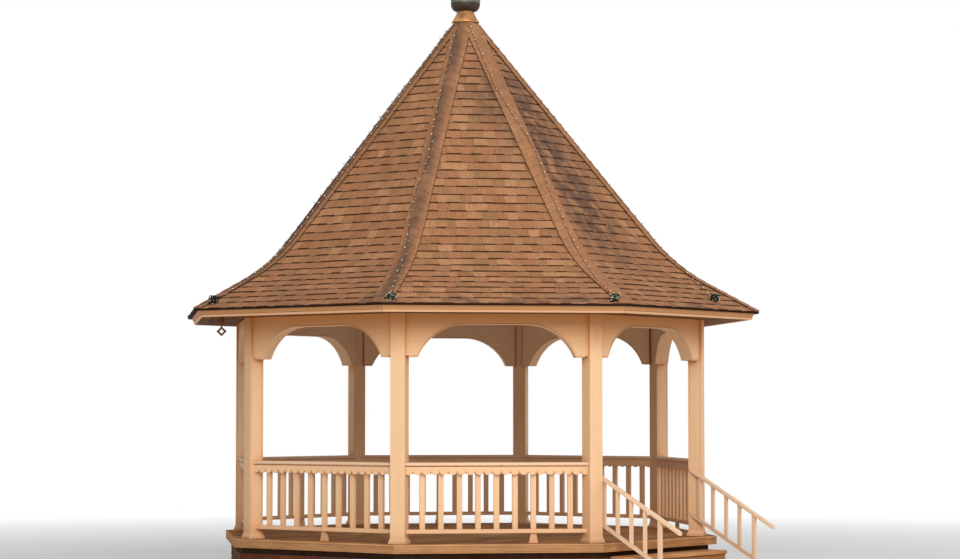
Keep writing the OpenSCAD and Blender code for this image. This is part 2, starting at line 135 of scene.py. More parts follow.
def outward(points, faces):
    """Faces of n closed solids, each read so that it points out. Where the sum of the corner products
    of a solid's faces, which is six times its volume, is negative, its faces are read backwards."""
    middle = points - points.mean(1, keepdims=True)
    volume = np.zeros(len(points))
    for face in faces:
        corner = middle[:, face]
        for j in range(1, face.shape[1] - 1):
            volume += np.einsum("nfi,nfi->n", corner[:, :, 0],
                                np.cross(corner[:, :, j], corner[:, :, j + 1]))
    inside_out = (volume < 0).astype(int)
    return points, [np.stack([face, face[:, ::-1]])[inside_out] for face in faces]


def slab(front, back):
    """Solids between two grids of points (n, rows, columns, 3): both grids and a wall round their edge."""
    n, rows, columns = front.shape[:3]
    size = rows * columns
    grid = np.arange(size).reshape(rows, columns)
    quads = join(grid[:-1, :-1], grid[:-1, 1:], grid[1:, 1:], grid[1:, :-1]).reshape(-1, 4)
    edge = np.concatenate([grid[0], grid[1:, -1], grid[-1, -2::-1], grid[-2:0:-1, 0]])
    after = np.roll(edge, -1)
    wall = join(edge, edge + size, after + size, after)
    points = np.concatenate([front.reshape(n, size, 3), back.reshape(n, size, 3)], 1)
    return outward(points, [quads, quads[:, ::-1] + size, wall])


def tube(rings):
    """Solids through rows of rings (n, rings, corners, 3): walls from ring to ring and a cap on each end."""
    n, count, corners = rings.shape[:3]
    grid = np.arange(count * corners).reshape(count, corners)
    beside = np.roll(grid, -1, 1)
    walls = join(grid[:-1], beside[:-1], beside[1:], grid[1:]).reshape(-1, 4)
    caps = np.stack([grid[0, ::-1], grid[-1]])
    return outward(rings.reshape(n, -1, 3), [walls, caps])


def blocks(out, across, up):
    """Blocks between two values on each axis, where each value may be a row of n numbers."""
    values = [np.atleast_1d(np.asarray(v, float)) for v in (*out, *across, *up)]
    o0, o1, a0, a1, u0, u1 = np.broadcast_arrays(*values)
    rings = [np.stack([join(o0, a0, u), join(o1, a0, u), join(o1, a1, u), join(o0, a1, u)], 1)
             for u in (u0, u1)]
    return tube(np.stack(rings, 1))


def within_bay(solids, gap, least):
    """Solids cut off at the mitres of a bay: no point goes further across than its distance out times
    the tangent of half a bay, less a gap. Solids left narrower than least are dropped."""
    points, faces = solids
    limit = points[..., 0] * TAN - gap
    points = join(points[..., 0], np.clip(points[..., 1], -limit, limit), points[..., 2])
    kept = np.ptp(points[..., 1], axis=1) > least
    return points[kept], [face[kept] for face in faces]


def across_bay(sections, gap=0.0005, reach=None):
    """Sections (n, corners, 2) of distance out and level, carried across a bay to its mitres, or as far
    as reach on both sides."""
    out, up = np.moveaxis(np.asarray(sections, float), -1, 0)
    side = out * TAN - gap if reach is None else reach
    return tube(np.stack([join(out, -side, up), join(out, side, up)], 1))


def box_section(near, far, low, high):
    return np.array([[near, low], [far, low], [far, high], [near, high]])


def sheet(first, last):
    """One grid of points with two rows, in the form that slab takes."""
    return np.stack([first, last])[None]


def edge_board(across, low, high, near, far):
    """One board whose edges are the lines low and high over the places across, between two distances out."""
    return slab(*(sheet(join(out, across, low), join(out, across, high)) for out in (far, near)))


def full_turn(corners):
    return np.linspace(0, 2 * np.pi, corners, endpoint=False)


def lathe(profile, sides):
    """One solid of revolution: each (radius, level) of the profile becomes a ring of points."""
    radius, level = np.asarray(profile, float).T[..., None]
    turn = full_turn(sides)
    return tube(join(radius * np.cos(turn), radius * np.sin(turn), level)[None])


def unit(vectors):
    return vectors / np.linalg.norm(vectors, axis=-1, keepdims=True)


def circles(axis, hint, corners):
    """Rings of radius one square to each axis: cos(turn) times one side and sin(turn) times the other,
    where the first side is square to the axis and to the hint."""
    aside = unit(np.cross(axis, hint))
    above = np.cross(aside, axis)
    turn = full_turn(corners)[:, None]
    return aside[:, None] * np.cos(turn) + above[:, None] * np.sin(turn)


def along_path(path, radius, corners=6):
    """One round tube along a line of points: each ring is the circle of that radius square to the line."""
    ahead = unit(np.gradient(path, axis=0))
    return tube((path[:, None] + radius * circles(ahead, (0.31, 0.93, 0.17), corners))[None])


def beads(foot, axis, profile):
    """Small turned solids, one on each foot along its axis: each (distance, radius) of the profile
    becomes a ring."""
    axis = unit(axis)
    along, radius = np.asarray(profile, float).T[..., None, None]
    ring = circles(axis, (0.2, 0.5, 0.84), 6)
    return tube(foot[:, None, None] + axis[:, None, None] * along + ring[:, None] * radius)


def in_scene(name, data):
    """A new object of the scene."""
    made = bpy.data.objects.new(name, data)
    bpy.context.scene.collection.objects.link(made)
    return made


class Pile:
    """Closed solids gathered for one piece, each with its own run of grain and its own tone."""

    def __init__(self, seed):
        self.random = np.random.default_rng(seed)
        self.points, self.grain, self.tone, self.faces = [], [], [], []
        self.total = 0

    def add(self, solids, turns=(0,), along=1, grain=None, tone=None):
        """Adds n solids once for each turn: turn k looks out of bay k + 1, and k - 0.5 out of a post.
        The grain runs along one axis, and a random shift sets each solid's grain apart."""
        points, faces = solids
        n, m = points.shape[:2]
        x, y, z = np.moveaxis(points, -1, 0)
        order = [along] + [axis for axis in (2, 0, 1) if axis != along]
        for turn in turns:
            angle = math.radians(45 * turn - 90)
            cos, sin = math.cos(angle), math.sin(angle)
            shift = self.random.uniform(-30, 30, (n, 1, 3))
            lines = points[..., order] + shift if grain is None else grain + shift * (0, 0, 1)
            tones = self.random.random(n) if tone is None else np.broadcast_to(tone, n)
            self.points.append(join(x * cos - y * sin, x * sin + y * cos, z).reshape(-1, 3))
            self.grain.append(lines.reshape(-1, 3))
            self.tone.append(np.repeat(tones, m))
            first = self.total + m * np.arange(n)[:, None, None]
            self.faces += [(face + first).reshape(-1, face.shape[-1]) for face in faces]
            self.total += n * m
        return self

    def piece(self, name, material, slot, replaces=(), bevel=0.0, rounds=1):
        """Makes the mesh, smooth where its faces meet at less than 35 degrees, with its edges eased."""
        mesh = bpy.data.meshes.new(name)
        sizes = np.concatenate([np.full(len(face), face.shape[1]) for face in self.faces])
        corners = np.concatenate([face.ravel() for face in self.faces])
        mesh.vertices.add(self.total)
        mesh.vertices.foreach_set("co", np.concatenate(self.points).astype(np.float32).ravel())
        mesh.loops.add(len(corners))
        mesh.loops.foreach_set("vertex_index", corners.astype(np.int32))
        mesh.polygons.add(len(sizes))
        mesh.polygons.foreach_set("loop_start", np.concatenate([[0], np.cumsum(sizes)[:-1]]))
        mesh.update(calc_edges=True)
        mesh.shade_smooth()
        mesh.set_sharp_from_angle(angle=math.radians(35))
        for key, kind, field, parts in (("grain", "FLOAT_VECTOR", "vector", self.grain),
                                        ("tone", "FLOAT", "value", self.tone)):
            layer = mesh.attributes.new(key, kind, "POINT")
            layer.data.foreach_set(field, np.concatenate(parts).astype(np.float32).ravel())
        mesh.materials.append(material)
        piece = in_scene(name, mesh)
        if bevel:
            eased = piece.modifiers.new("eased edges", "BEVEL")
            eased.width = bevel
            eased.segments = rounds
            eased.limit_method = "ANGLE"
            eased.angle_limit = math.radians(40)
            eased.harden_normals = True
        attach(piece, "root")
        if replaces:
            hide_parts(*replaces)


class Wires:
    """A short way to add nodes: what is given is set on an input, or joined to it if it is an output."""

    def __init__(self, tree):
        self.tree = tree

    def give(self, socket, value):
        """Sets or joins one input; a colour is given as red, green and blue."""
        if isinstance(value, bpy.types.NodeSocket):
            self.tree.links.new(value, socket)
        else:
            socket.default_value = (*value, 1.0) if socket.type == "RGBA" else value

    def add(self, kind, inputs=None, outlet=0, **settings):
        node = self.tree.nodes.new("ShaderNode" + kind)
        for key, value in settings.items():
            setattr(node, key, value)
        for key, value in (inputs or {}).items():
            self.give(node.inputs[key], value)
        return node if outlet is None else node.outputs[outlet]

    def use(self, effect, outlet="Color", **inputs):
        return self.add("Group", inputs, outlet, node_tree=effect)

    def mix(self, factor, first, second, blend="MIX"):
        return self.add("Mix", {0: factor, 6: first, 7: second}, 2, data_type="RGBA", blend_type=blend)

    def tint(self, first, second):
        return self.mix(1.0, first, second, "MULTIPLY")

    def brighten(self, first, value):
        return self.add("HueSaturation", {"Color": first, "Value": value})

    def math(self, operation, first, *others):
        """One operation, taken over all that is given in turn."""
        for other in others or (0.0,):
            first = self.add("Math", {0: first, 1: other}, operation=operation)
        return first

    def times(self, *values):
        return self.math("MULTIPLY", *values)

    def most(self, *values):
        return self.math("MAXIMUM", *values)

    def absolute(self, value):
        return self.math("ABSOLUTE", value)

    def span(self, value, low, high, to_low=0.0, to_high=1.0):
        return self.add("MapRange", {"Value": value, "From Min": low, "From Max": high,
                                     "To Min": to_low, "To Max": to_high})

    def noise(self, place, scale, detail=4.0, roughness=0.55, distortion=0.0):
        return self.add("TexNoise", {"Vector": place, "Scale": scale, "Detail": detail,
                                     "Roughness": roughness, "Distortion": distortion})

    def drawn_noise(self, place, scale, detail, roughness=0.55):
        """Noise drawn out by a scale of its own on each axis."""
        return self.noise(self.stretch(place, scale), 1.0, detail, roughness)

    def stretch(self, place, scale):
        return self.add("Mapping", {"Vector": place, "Scale": scale})

    def ramp(self, factor, *stops):
        node = self.add("ValToRGB", {"Fac": factor}, None)
        marks = node.color_ramp.elements
        for index, (position, colour) in enumerate(stops):
            mark = marks[index] if index < 2 else marks.new(position)
            mark.position = position
            mark.color = (*colour, 1.0)
        return node.outputs[0]

    def axis(self, place, key):
        return self.add("SeparateXYZ", {"Vector": place}, key)

    def grain_place(self):
        return self.add("Attribute", outlet="Vector", attribute_name="grain")

    def tone(self):
        return self.add("Attribute", outlet="Fac", attribute_name="tone")

    def object_place(self):
        return self.add("TexCoord", outlet="Object")

    def bump(self, height, distance, strength=0.6):
        return self.add("Bump", {"Height": height, "Distance": distance, "Strength": strength})


def effect(name, inputs, outputs, build):
    """A shader node group. Each input is a kind, or the number that it starts from; of the outputs,
    Color is a colour and the others are numbers."""
    tree = bpy.data.node_groups.new(name, "ShaderNodeTree")
    for key, start in inputs.items():
        kind = "Float" if isinstance(start, float) else start
        socket = tree.interface.new_socket(key, in_out="INPUT", socket_type="NodeSocket" + kind)
        if kind == "Float":
            socket.default_value = start
    for key in outputs:
        kind = "Color" if key == "Color" else "Float"
        tree.interface.new_socket(key, in_out="OUTPUT", socket_type="NodeSocket" + kind)
    source = tree.nodes.new("NodeGroupInput")
    target = tree.nodes.new("NodeGroupOutput")
    for key, socket in build(Wires(tree), source.outputs).items():
        tree.links.new(socket, target.inputs[key])
    return tree


def build_grain(w, given):
    """Streaks drawn out along the grain, fine pores in them and a few dark knots that bend them."""
    place = given["Place"]
    knot = w.add("TexVoronoi", {"Vector": w.stretch(place, (0.9, 6.0, 6.0)), "Scale": 1.0}, "Distance")
    near = w.times(w.span(knot, 0.22, 0.03), given["Knots"])
    bent = w.add("VectorMath", {0: w.stretch(place, (0.9, 16.0, 16.0)), 1: near}, operation="ADD")
    streak = w.noise(bent, 1.6, 6.0, 0.62, 0.4)
    pore = w.drawn_noise(place, (5.0, 160.0, 90.0), 3.0)
    both = w.math("ADD", w.times(streak, 0.72), w.times(pore, 0.28))
    shade = w.mix(w.span(both, 0.36, 0.66), given["Dark"], given["Pale"])
    return {"Color": w.mix(w.times(near, 0.75), shade, given["Knot"]),
            "Height": w.math("SUBTRACT", both, w.times(near, 0.4))}


def build_weather(w, given):
    """Broad uneven patches, runs drawn down the piece and small specks, mixed towards a dirt colour."""
    place = given["Place"]
    patch = w.span(w.noise(place, 1.7, 5.0, 0.6), 0.42, 0.72)
    runs = w.span(w.drawn_noise(place, (11.0, 11.0, 0.9), 4.0, 0.6), 0.52, 0.78)
    speck = w.span(w.noise(place, 55.0, 2.0, 0.5), 0.66, 0.74)
    dirt = w.most(w.times(patch, 0.55), w.times(runs, given["Runs"]), w.times(speck, given["Specks"]))
    mask = w.times(dirt, given["Amount"])
    return {"Color": w.mix(mask, given["Color"], given["Dirt"]), "Mask": mask}


def build_painted_shade(w, given):
    """Painted shade: colour kept deeper and warmer where a surface is tucked in under or behind others
    within a distance.
    """
    open_air = w.add("AmbientOcclusion", {"Distance": given["Distance"]}, "AO", samples=16)
    hidden = w.times(w.span(open_air, 0.97, 0.48), given["Amount"])
    return {"Color": w.mix(hidden, given["Color"], w.tint(given["Color"], (0.68, 0.36, 0.09)))}


def build_wear(w, given):
    """Edges rubbed through to another colour, broken up by noise."""
    edge = w.span(w.add("NewGeometry", outlet="Pointiness"), 0.505, 0.56)
    broken = w.span(w.noise(given["Place"], 26.0, 4.0, 0.6), 0.38, 0.62)
    return {"Color": w.mix(w.times(edge, broken, given["Amount"]), given["Color"], given["Under"])}


def build_grit(w, given):
    """Coarse grains: the cells of a fine pattern, each lighter or darker, with small pits between."""
    place = given["Place"]
    cells = w.add("TexVoronoi", {"Vector": place, "Scale": given["Scale"]}, None)
    light = w.add("SeparateColor", {"Color": cells.outputs["Color"]})
    value = w.math("ADD", w.times(light, 0.6), w.times(w.noise(place, 9.0, 5.0, 0.6), 0.4))
    return {"Color": w.mix(w.span(value, 0.2, 0.85), given["Dark"], given["Pale"]),
            "Height": w.times(cells.outputs["Distance"], -1.0)}


GRAIN = effect("wood grain", {"Place": "Vector", "Pale": "Color", "Dark": "Color", "Knot": "Color",
                              "Knots": 1.0}, ("Color", "Height"), build_grain)
WEATHER = effect("weathering", {"Color": "Color", "Dirt": "Color", "Place": "Vector", "Amount": 0.5,
                                "Runs": 0.6, "Specks": 0.5}, ("Color", "Mask"), build_weather)
PAINTED_SHADE = effect("painted shade", {"Color": "Color", "Distance": 0.6, "Amount": 0.88}, ("Color",), build_painted_shade)
WEAR = effect("edge wear", {"Color": "Color", "Under": "Color", "Place": "Vector", "Amount": 0.7},
              ("Color",), build_wear)
GRIT = effect("grit", {"Place": "Vector", "Scale": 300.0, "Dark": "Color", "Pale": "Color"},
              ("Color", "Height"), build_grit)


WHITE = (1.0, 1.0, 1.0)


def scaled(colour, by):
    """A colour made lighter or darker, held at one."""
    return tuple(min(1.0, by * part) for part in colour)


def material(name, build, *given):
    """A material whose build gives the Principled shader's inputs, as sockets or plain values."""
    made = bpy.data.materials.new(name)
    made.use_nodes = True
    w = Wires(made.node_tree)
    for key, value in build(w, *given).items():
        w.give(made.node_tree.nodes["Principled BSDF"].inputs[key], value)
    return made


def materials(build, *rows):
    """Materials of one kind, a row of a name and what the build is given for each."""
    return [material(name, build, *given) for name, *given in rows]


def painted(w, paint, dirt, under):
    """Brushed paint over wood: faint grain shows through, edges are rubbed and dirt has run down. The
    painted shade, deeper and warmer where a surface is tucked in, grows stronger towards the roof."""
    place = w.object_place()
    grain = w.use(GRAIN, None, Place=w.grain_place(), Pale=scaled(paint, 1.02),
                  Dark=scaled(paint, 0.96), Knot=scaled(paint, 0.8), Knots=0.25)
    base = w.brighten(grain.outputs["Color"], w.span(w.tone(), 0.0, 1.0, 0.94, 1.06))
    worn = w.use(WEAR, Color=base, Under=under, Place=place, Amount=0.08)
    dirty = w.use(WEATHER, None, Color=worn, Dirt=dirt, Place=place, Amount=0.07, Runs=0.9, Specks=0.2)
    # painted shade: its strength grows from low on the posts up to the headers under the eave
    amount = w.span(w.axis(place, "Z"), DECK + 1.0, DECK + 2.1, 0.30, 0.88)
    return {"Base Color": w.use(PAINTED_SHADE, Color=dirty.outputs["Color"], Amount=amount),
            "Roughness": w.span(dirty.outputs["Mask"], 0.0, 0.2, 0.55, 0.75),
            "Specular IOR Level": 0.08,
            "Normal": w.bump(grain.outputs["Height"], 0.0005, 0.3)}


def bare_wood(w, pale, dark, knot, dirt, shade, knots, gloss):
    """Bare timber with its grain, each board of its own tone, greyed and dirty in places, with painted shade
    where it is tucked in.
    """
    grain = w.use(GRAIN, None, Place=w.grain_place(), Pale=pale, Dark=dark, Knot=knot, Knots=knots)
    base = w.brighten(grain.outputs["Color"], w.span(w.tone(), 0.0, 1.0, 0.72, 1.22))
    dirty = w.use(WEATHER, Color=base, Dirt=dirt, Place=w.object_place(), Amount=0.7, Runs=0.35,
                  Specks=0.8)
    # painted shade where the board is tucked in, as deep as the shade column gives
    return {"Base Color": w.use(PAINTED_SHADE, Color=dirty, Amount=shade), "Roughness": 0.75,
            "Specular IOR Level": gloss, "Normal": w.bump(grain.outputs["Height"], 0.002)}


def frame_timber(w, pale, dark):
    """Sawn timber of the frame's own parts: its grain is laid in object coordinates, with dirt over it."""
    place = w.object_place()
    grain = w.use(GRAIN, None, Place=w.stretch(place, (1.0, 1.0, 0.6)), Pale=pale, Dark=dark,
                  Knot=(0.04, 0.02, 0.01), Knots=0.8)
    dirty = w.use(WEATHER, Color=grain.outputs["Color"], Dirt=(0.06, 0.045, 0.03), Place=place,
                  Amount=0.8)
    return {"Base Color": dirty, "Roughness": 0.85, "Specular IOR Level": 0.1,
            "Normal": w.bump(grain.outputs["Height"], 0.003)}


def granules(w, blend):
    """Close grains of a blend of colours, combed lighter and darker along the slope."""
    grit = w.use(GRIT, None, Place=w.object_place(), Scale=240.0, Dark=w.tint(blend, (0.77, 0.76, 0.76)),
                 Pale=w.tint(blend, (1.30, 1.30, 1.32)))
    combed = w.drawn_noise(w.grain_place(), (75.0, 7.0, 1.0), 3.0, 0.6)
    return grit, w.brighten(grit.outputs["Color"], w.span(combed, 0.32, 0.68, 0.84, 1.16))


def roof_grime(w, strength):
    """Grey streaks that run down bay 1, at a strength, and grey clouds on the lowest courses."""
    place = w.object_place()
    x, y, z = (w.axis(place, key) for key in "XYZ")
    streaks = w.times(w.span(w.drawn_noise(place, (7.0, 7.0, 0.9), 5.0, 0.6), 0.34, 0.54),
                      w.span(w.absolute(w.math("ADD", x, 0.2)), 0.70, 0.20),
                      w.span(y, -0.35, -0.75), w.span(y, -2.9, -2.1), strength)
    cloud = w.span(w.drawn_noise(place, (2.2, 2.2, 5.0), 4.0, 0.6), 0.50, 0.70)
    return w.most(streaks, w.times(w.span(z, EAVE_TOP + 0.17, EAVE_TOP + 0.05), cloud))


def hip_grime(w):
    """Grime along the middle of the hips, strong on the two sides that face along X."""
    place = w.object_place()
    middle = w.span(w.absolute(w.axis(w.grain_place(), "X")), 0.115, 0.03)
    end_bays = w.math("SUBTRACT", w.absolute(w.axis(place, "X")), w.absolute(w.axis(place, "Y")))
    patchy = w.span(w.noise(place, 3.0, 4.0, 0.6), 0.3, 0.6, 0.45, 1.0)
    return w.times(middle, w.span(end_bays, -0.1, 0.2, 0.14, 0.92), patchy)


def painted_butt_shade(w, exposure, depth):
    """Painted shade on a shingle's own butt, to a depth, and painted shadow under the butt of the next one,
    an exposure above.
    """
    up_slope = w.axis(w.grain_place(), "Y")
    butt = w.span(w.math("SUBTRACT", up_slope, depth), 0.0, -0.002)
    broken = w.span(w.drawn_noise(w.grain_place(), (9.0, 1.0, 1.0), 2.0), 0.36, 0.58, 0.62, 1.0)
    under = w.times(w.span(up_slope, exposure - 0.013, exposure - 0.005), broken)
    return w.most(butt, under)


def roof_surface(w, base, grime, line, grit):
    """Grime, then nearly black lines of painted shade and painted shadow, then thin weathering over a base
    colour.
    """
    # the nearly black colour is painted shade on the butts and painted shadow under them
    with_painted_shade = w.mix(line, w.mix(w.times(grime, 0.85), base, (0.084, 0.049, 0.035)), (0.058, 0.021, 0.008))
    dirty = w.use(WEATHER, Color=with_painted_shade, Dirt=(0.09, 0.05, 0.03), Place=w.object_place(), Amount=0.25,
                  Runs=0.5, Specks=0.3)
    return {"Base Color": dirty, "Roughness": 0.92, "Specular IOR Level": 0.2,
            "Normal": w.bump(grit.outputs["Height"], 0.0015, 0.8)}


def shingle_blend(w):
    """Close blends of brown, one to a tab: the tone of a thick tab is over a half, so twice the tone
    runs through the blends once for the thin tabs and once for the thick ones."""
    return w.ramp(w.math("FRACT", w.times(w.tone(), 1.998)),
                  (0.0, (0.270, 0.120, 0.052)), (0.18, (0.328, 0.151, 0.067)),
                  (0.36, (0.276, 0.136, 0.061)), (0.52, (0.348, 0.146, 0.065)),
                  (0.68, (0.312, 0.150, 0.067)), (0.84, (0.400, 0.197, 0.090)),
                  (1.0, (0.332, 0.158, 0.070)))


def shingle_face(w):
    """Granules with painted shade at the butts, deeper on the thick tabs, and painted shadow under the next
    course.
    """
    grit, base = granules(w, shingle_blend(w))
    # how far the painted shade reaches up from a butt: further on thick tabs
    depth = w.span(w.tone(), 0.49, 0.51, 0.0034, 0.0070)
    return roof_surface(w, base, roof_grime(w, 1.0), painted_butt_shade(w, EXPOSURE, depth), grit)


def hip_face(w):
    """Granules of a plainer blend, with faint painted shade at the butts, edges darkened as painted shade
    and grime along the middle.
    """
    grit, base = granules(w, w.mix(0.6, shingle_blend(w), (0.355, 0.163, 0.076)))
    # painted shade along the long edges of the hip shingles
    edge = w.span(w.absolute(w.axis(w.grain_place(), "X")), HIP_HALF - 0.006, HIP_HALF - 0.003)
    line = w.most(w.times(painted_butt_shade(w, HIP_STEP, 0.0034), 0.12), w.times(edge, 0.75))
    return roof_surface(w, base, w.most(roof_grime(w, 0.25), hip_grime(w)), line, grit)


def brick_face(w):
    """Fired brick: each its own red, with sooty clouds, runs and pits, and painted shade where it is tucked
    in.
    """
    place = w.object_place()
    blend = w.ramp(w.tone(), (0.0, (0.12, 0.028, 0.009)), (0.3, (0.21, 0.048, 0.014)),
                   (0.6, (0.28, 0.075, 0.022)), (0.85, (0.15, 0.036, 0.014)), (1.0, (0.33, 0.11, 0.035)))
    grit = w.use(GRIT, None, Place=place, Scale=130.0, Dark=w.tint(blend, (0.45, 0.42, 0.40)), Pale=blend)
    dirty = w.use(WEATHER, Color=grit.outputs["Color"], Dirt=(0.03, 0.02, 0.014), Place=place,
                  Amount=0.75, Runs=0.5, Specks=0.8)
    # painted shade where the brick is tucked in, within a short distance
    return {"Base Color": w.use(PAINTED_SHADE, Color=dirty, Amount=0.5, Distance=0.3), "Roughness": 0.9,
            "Specular IOR Level": 0.2, "Normal": w.bump(grit.outputs["Height"], 0.002)}


def mortar_face(w):
    """Lime mortar: sandy, browned by soot and damp in patches."""
    place = w.object_place()
    grit = w.use(GRIT, None, Place=place, Scale=420.0, Dark=(0.10, 0.052, 0.030), Pale=(0.25, 0.14, 0.085))
    dirty = w.use(WEATHER, Color=grit.outputs["Color"], Dirt=(0.06, 0.035, 0.022), Place=place, Amount=0.8)
    return {"Base Color": dirty, "Roughness": 0.95, "Normal": w.bump(grit.outputs["Height"], 0.0015)}


def pier_face(w):
    """Coursed bricks drawn on the pier under the deck, with the same reds and lime joints: the pattern
    runs along the sum of X and Y, so it turns round the corners."""
    place = w.object_place()
    flat = w.add("CombineXYZ", {"X": w.math("ADD", w.axis(place, "X"), w.axis(place, "Y")),
                                "Y": w.axis(place, "Z")})
    courses = w.add("TexBrick", {"Vector": flat, "Color1": (0.30, 0.09, 0.035),
                                 "Color2": (0.18, 0.05, 0.02), "Mortar": (0.42, 0.35, 0.27),
                                 "Scale": 1.0, "Mortar Size": 0.005, "Brick Width": 0.225,
                                 "Row Height": 0.075}, None)
    grit = w.use(GRIT, Place=place, Scale=130.0, Dark=(0.5, 0.5, 0.5), Pale=WHITE)
    dirty = w.use(WEATHER, Color=w.tint(courses.outputs["Color"], grit), Dirt=(0.05, 0.035, 0.02),
                  Place=place)
    return {"Base Color": dirty, "Roughness": 0.9,
            "Normal": w.bump(w.times(courses.outputs["Fac"], -1.0), 0.005)}


def weathered_metal(w, bright, dull, metallic, rough, gloss):
    """Sheet metal: bright where it is rubbed, dull and rough in clouds and runs."""
    place = w.object_place()
    base = w.mix(w.span(w.noise(place, 14.0, 5.0, 0.6), 0.35, 0.65), bright, dull)
    worn = w.use(WEAR, Color=base, Under=scaled(bright, 1.3), Place=place, Amount=0.6)
    dirty = w.use(WEATHER, None, Color=worn, Dirt=(0.05, 0.04, 0.03), Place=place, Amount=0.5, Runs=0.9)
    return {"Base Color": dirty.outputs["Color"], "Metallic": metallic, "Specular IOR Level": gloss,
            "Roughness": w.span(dirty.outputs["Mask"], 0.0, 0.4, rough, 0.8),
            "Normal": w.bump(w.noise(place, 60.0, 3.0), 0.0008)}


def window_glass(w):
    """Old lantern glass: greenish, with dust and rain marks on it."""
    dirty = w.use(WEATHER, None, Color=(0.34, 0.41, 0.34), Dirt=(0.12, 0.12, 0.09),
                  Place=w.object_place(), Amount=0.8, Runs=0.9)
    return {"Base Color": dirty.outputs["Color"], "Transmission Weight": 0.85, "IOR": 1.45,
            "Roughness": w.span(dirty.outputs["Mask"], 0.0, 0.5, 0.05, 0.5)}


def wire_skin(w):
    """Green plastic wire, faded and dusty in clouds."""
    cloud = w.span(w.noise(w.object_place(), 40.0, 4.0), 0.35, 0.65)
    return {"Base Color": w.mix(cloud, (0.008, 0.018, 0.010), (0.034, 0.038, 0.022)),
            "Roughness": w.span(cloud, 0.0, 1.0, 0.5, 0.7), "Specular IOR Level": 0.06}


def lamp_glass(w):
    """Small milky lamps, each of its own warmth, some with a film of dust."""
    film = w.span(w.noise(w.object_place(), 90.0, 2.0), 0.4, 0.7)
    milk = w.ramp(w.tone(), (0.0, (0.72, 0.58, 0.42)), (1.0, (0.92, 0.84, 0.72)))
    return {"Base Color": w.mix(w.times(film, 0.5), milk, (0.40, 0.31, 0.22)), "Roughness": 0.25,
            "Coat Weight": 0.4}


# Paint: its colour, the dirt on it and what shows where it is rubbed; the paler copy is a painted highlight
# and the two fascia copies are darkened as painted shade
PAINTED, PALE_HIGHLIGHT_PAINT, SHADED_FASCIA_PAINT, SHADED_STRIP_PAINT = materials(
    painted,
    ("peach paint", (0.82, 0.512, 0.292), (0.42, 0.22, 0.10), (0.60, 0.40, 0.24)),
    # a paler copy of the peach paint, as painted highlight
    ("pale trim paint", (0.80, 0.55, 0.36), (0.50, 0.28, 0.14), (0.66, 0.46, 0.30)),
    # darker copies of the peach paint, as painted shade on the fascia boards and, less, on their strip
    ("fascia paint", (0.63, 0.32, 0.14), (0.26, 0.12, 0.05), (0.50, 0.28, 0.14)),
    ("fascia strip paint", (0.76, 0.44, 0.24), (0.36, 0.18, 0.08), (0.56, 0.34, 0.2)))

# Bare wood: the pale and the dark of its grain, its knots and its dirt, then how deep its painted shade is,
# how strong its knots are and how much it shines
DECKING, TREADWOOD, RIMWOOD, SOFFITWOOD, GREYWOOD, SHEATHING = materials(
    bare_wood,
    ("weathered decking", (0.66, 0.33, 0.135), (0.29, 0.132, 0.052), (0.03, 0.012, 0.006),
     (0.07, 0.035, 0.016), 0.3, 1.5, 0.03),
    ("tread boards", (0.70, 0.37, 0.16), (0.40, 0.19, 0.078), (0.09, 0.04, 0.018),
     (0.16, 0.08, 0.035), 0.3, 1.0, 0.05),
    ("tan rim boards", (0.60, 0.32, 0.14), (0.40, 0.195, 0.080), (0.16, 0.07, 0.03),
     (0.20, 0.10, 0.045), 0.3, 0.5, 0.08),
    ("brown soffit boards", (0.26, 0.118, 0.042), (0.17, 0.074, 0.026), (0.04, 0.02, 0.008),
     (0.06, 0.03, 0.012), 0.6, 1.0, 0.03),
    ("dull grey wood", (0.24, 0.165, 0.10), (0.13, 0.085, 0.05), (0.06, 0.04, 0.02),
     (0.08, 0.05, 0.03), 0.6, 1.0, 0.2),
    ("roof boards", (0.34, 0.19, 0.09), (0.17, 0.085, 0.038), (0.05, 0.025, 0.012),
     (0.08, 0.045, 0.025), 0.6, 1.0, 0.2))
FRAMEWOOD, SILLWOOD = materials(
    frame_timber,
    ("sawn frame timber", (0.34, 0.19, 0.09), (0.14, 0.070, 0.033)),
    ("dark sill timber", (0.075, 0.026, 0.009), (0.028, 0.010, 0.004)))

# Metal: bright, dull, how metallic it is, how rough and how glossy
COPPER, IRON, DRIP_IN_PAINTED_SHADE, BARS, SCREW = materials(
    weathered_metal,
    ("gilded copper", (0.58, 0.27, 0.075), (0.32, 0.15, 0.05), 0.5, 0.42, 0.5),
    ("dark bowl metal", (0.05, 0.034, 0.018), (0.025, 0.016, 0.009), 0.6, 0.45, 0.5),
    # a drip edge, made near black as painted shade of the recess under the shingles
    ("dark drip edge", (0.014, 0.006, 0.003), (0.008, 0.004, 0.002), 0.0, 0.7, 0.03),
    ("grey green bars", (0.14, 0.155, 0.12), (0.075, 0.085, 0.062), 0.2, 0.5, 0.2),
    ("screw heads", (0.16, 0.12, 0.09), (0.07, 0.045, 0.03), 0.7, 0.5, 0.5))

SHINGLE = material("shingle granules", shingle_face)
HIP_SHINGLE = material("hip shingle granules", hip_face)
BRICK = material("fired brick", brick_face)
MORTAR = material("lime mortar", mortar_face)
PIER = material("brick pier", pier_face)
GLASS = material("lantern glass", window_glass)
WIRE = material("green wire", wire_skin)
LAMP = material("milky lamps", lamp_glass)


def mitred(seed, sections, gap, *piece):
    """A piece made of sections carried round all eight bays."""
    Pile(seed).add(across_bay(sections, gap), BAYS).piece(*piece)


def turned(seed, profile, sides, *piece):
    """A piece turned from one profile."""
    Pile(seed).add(lathe(profile, sides)).piece(*piece)


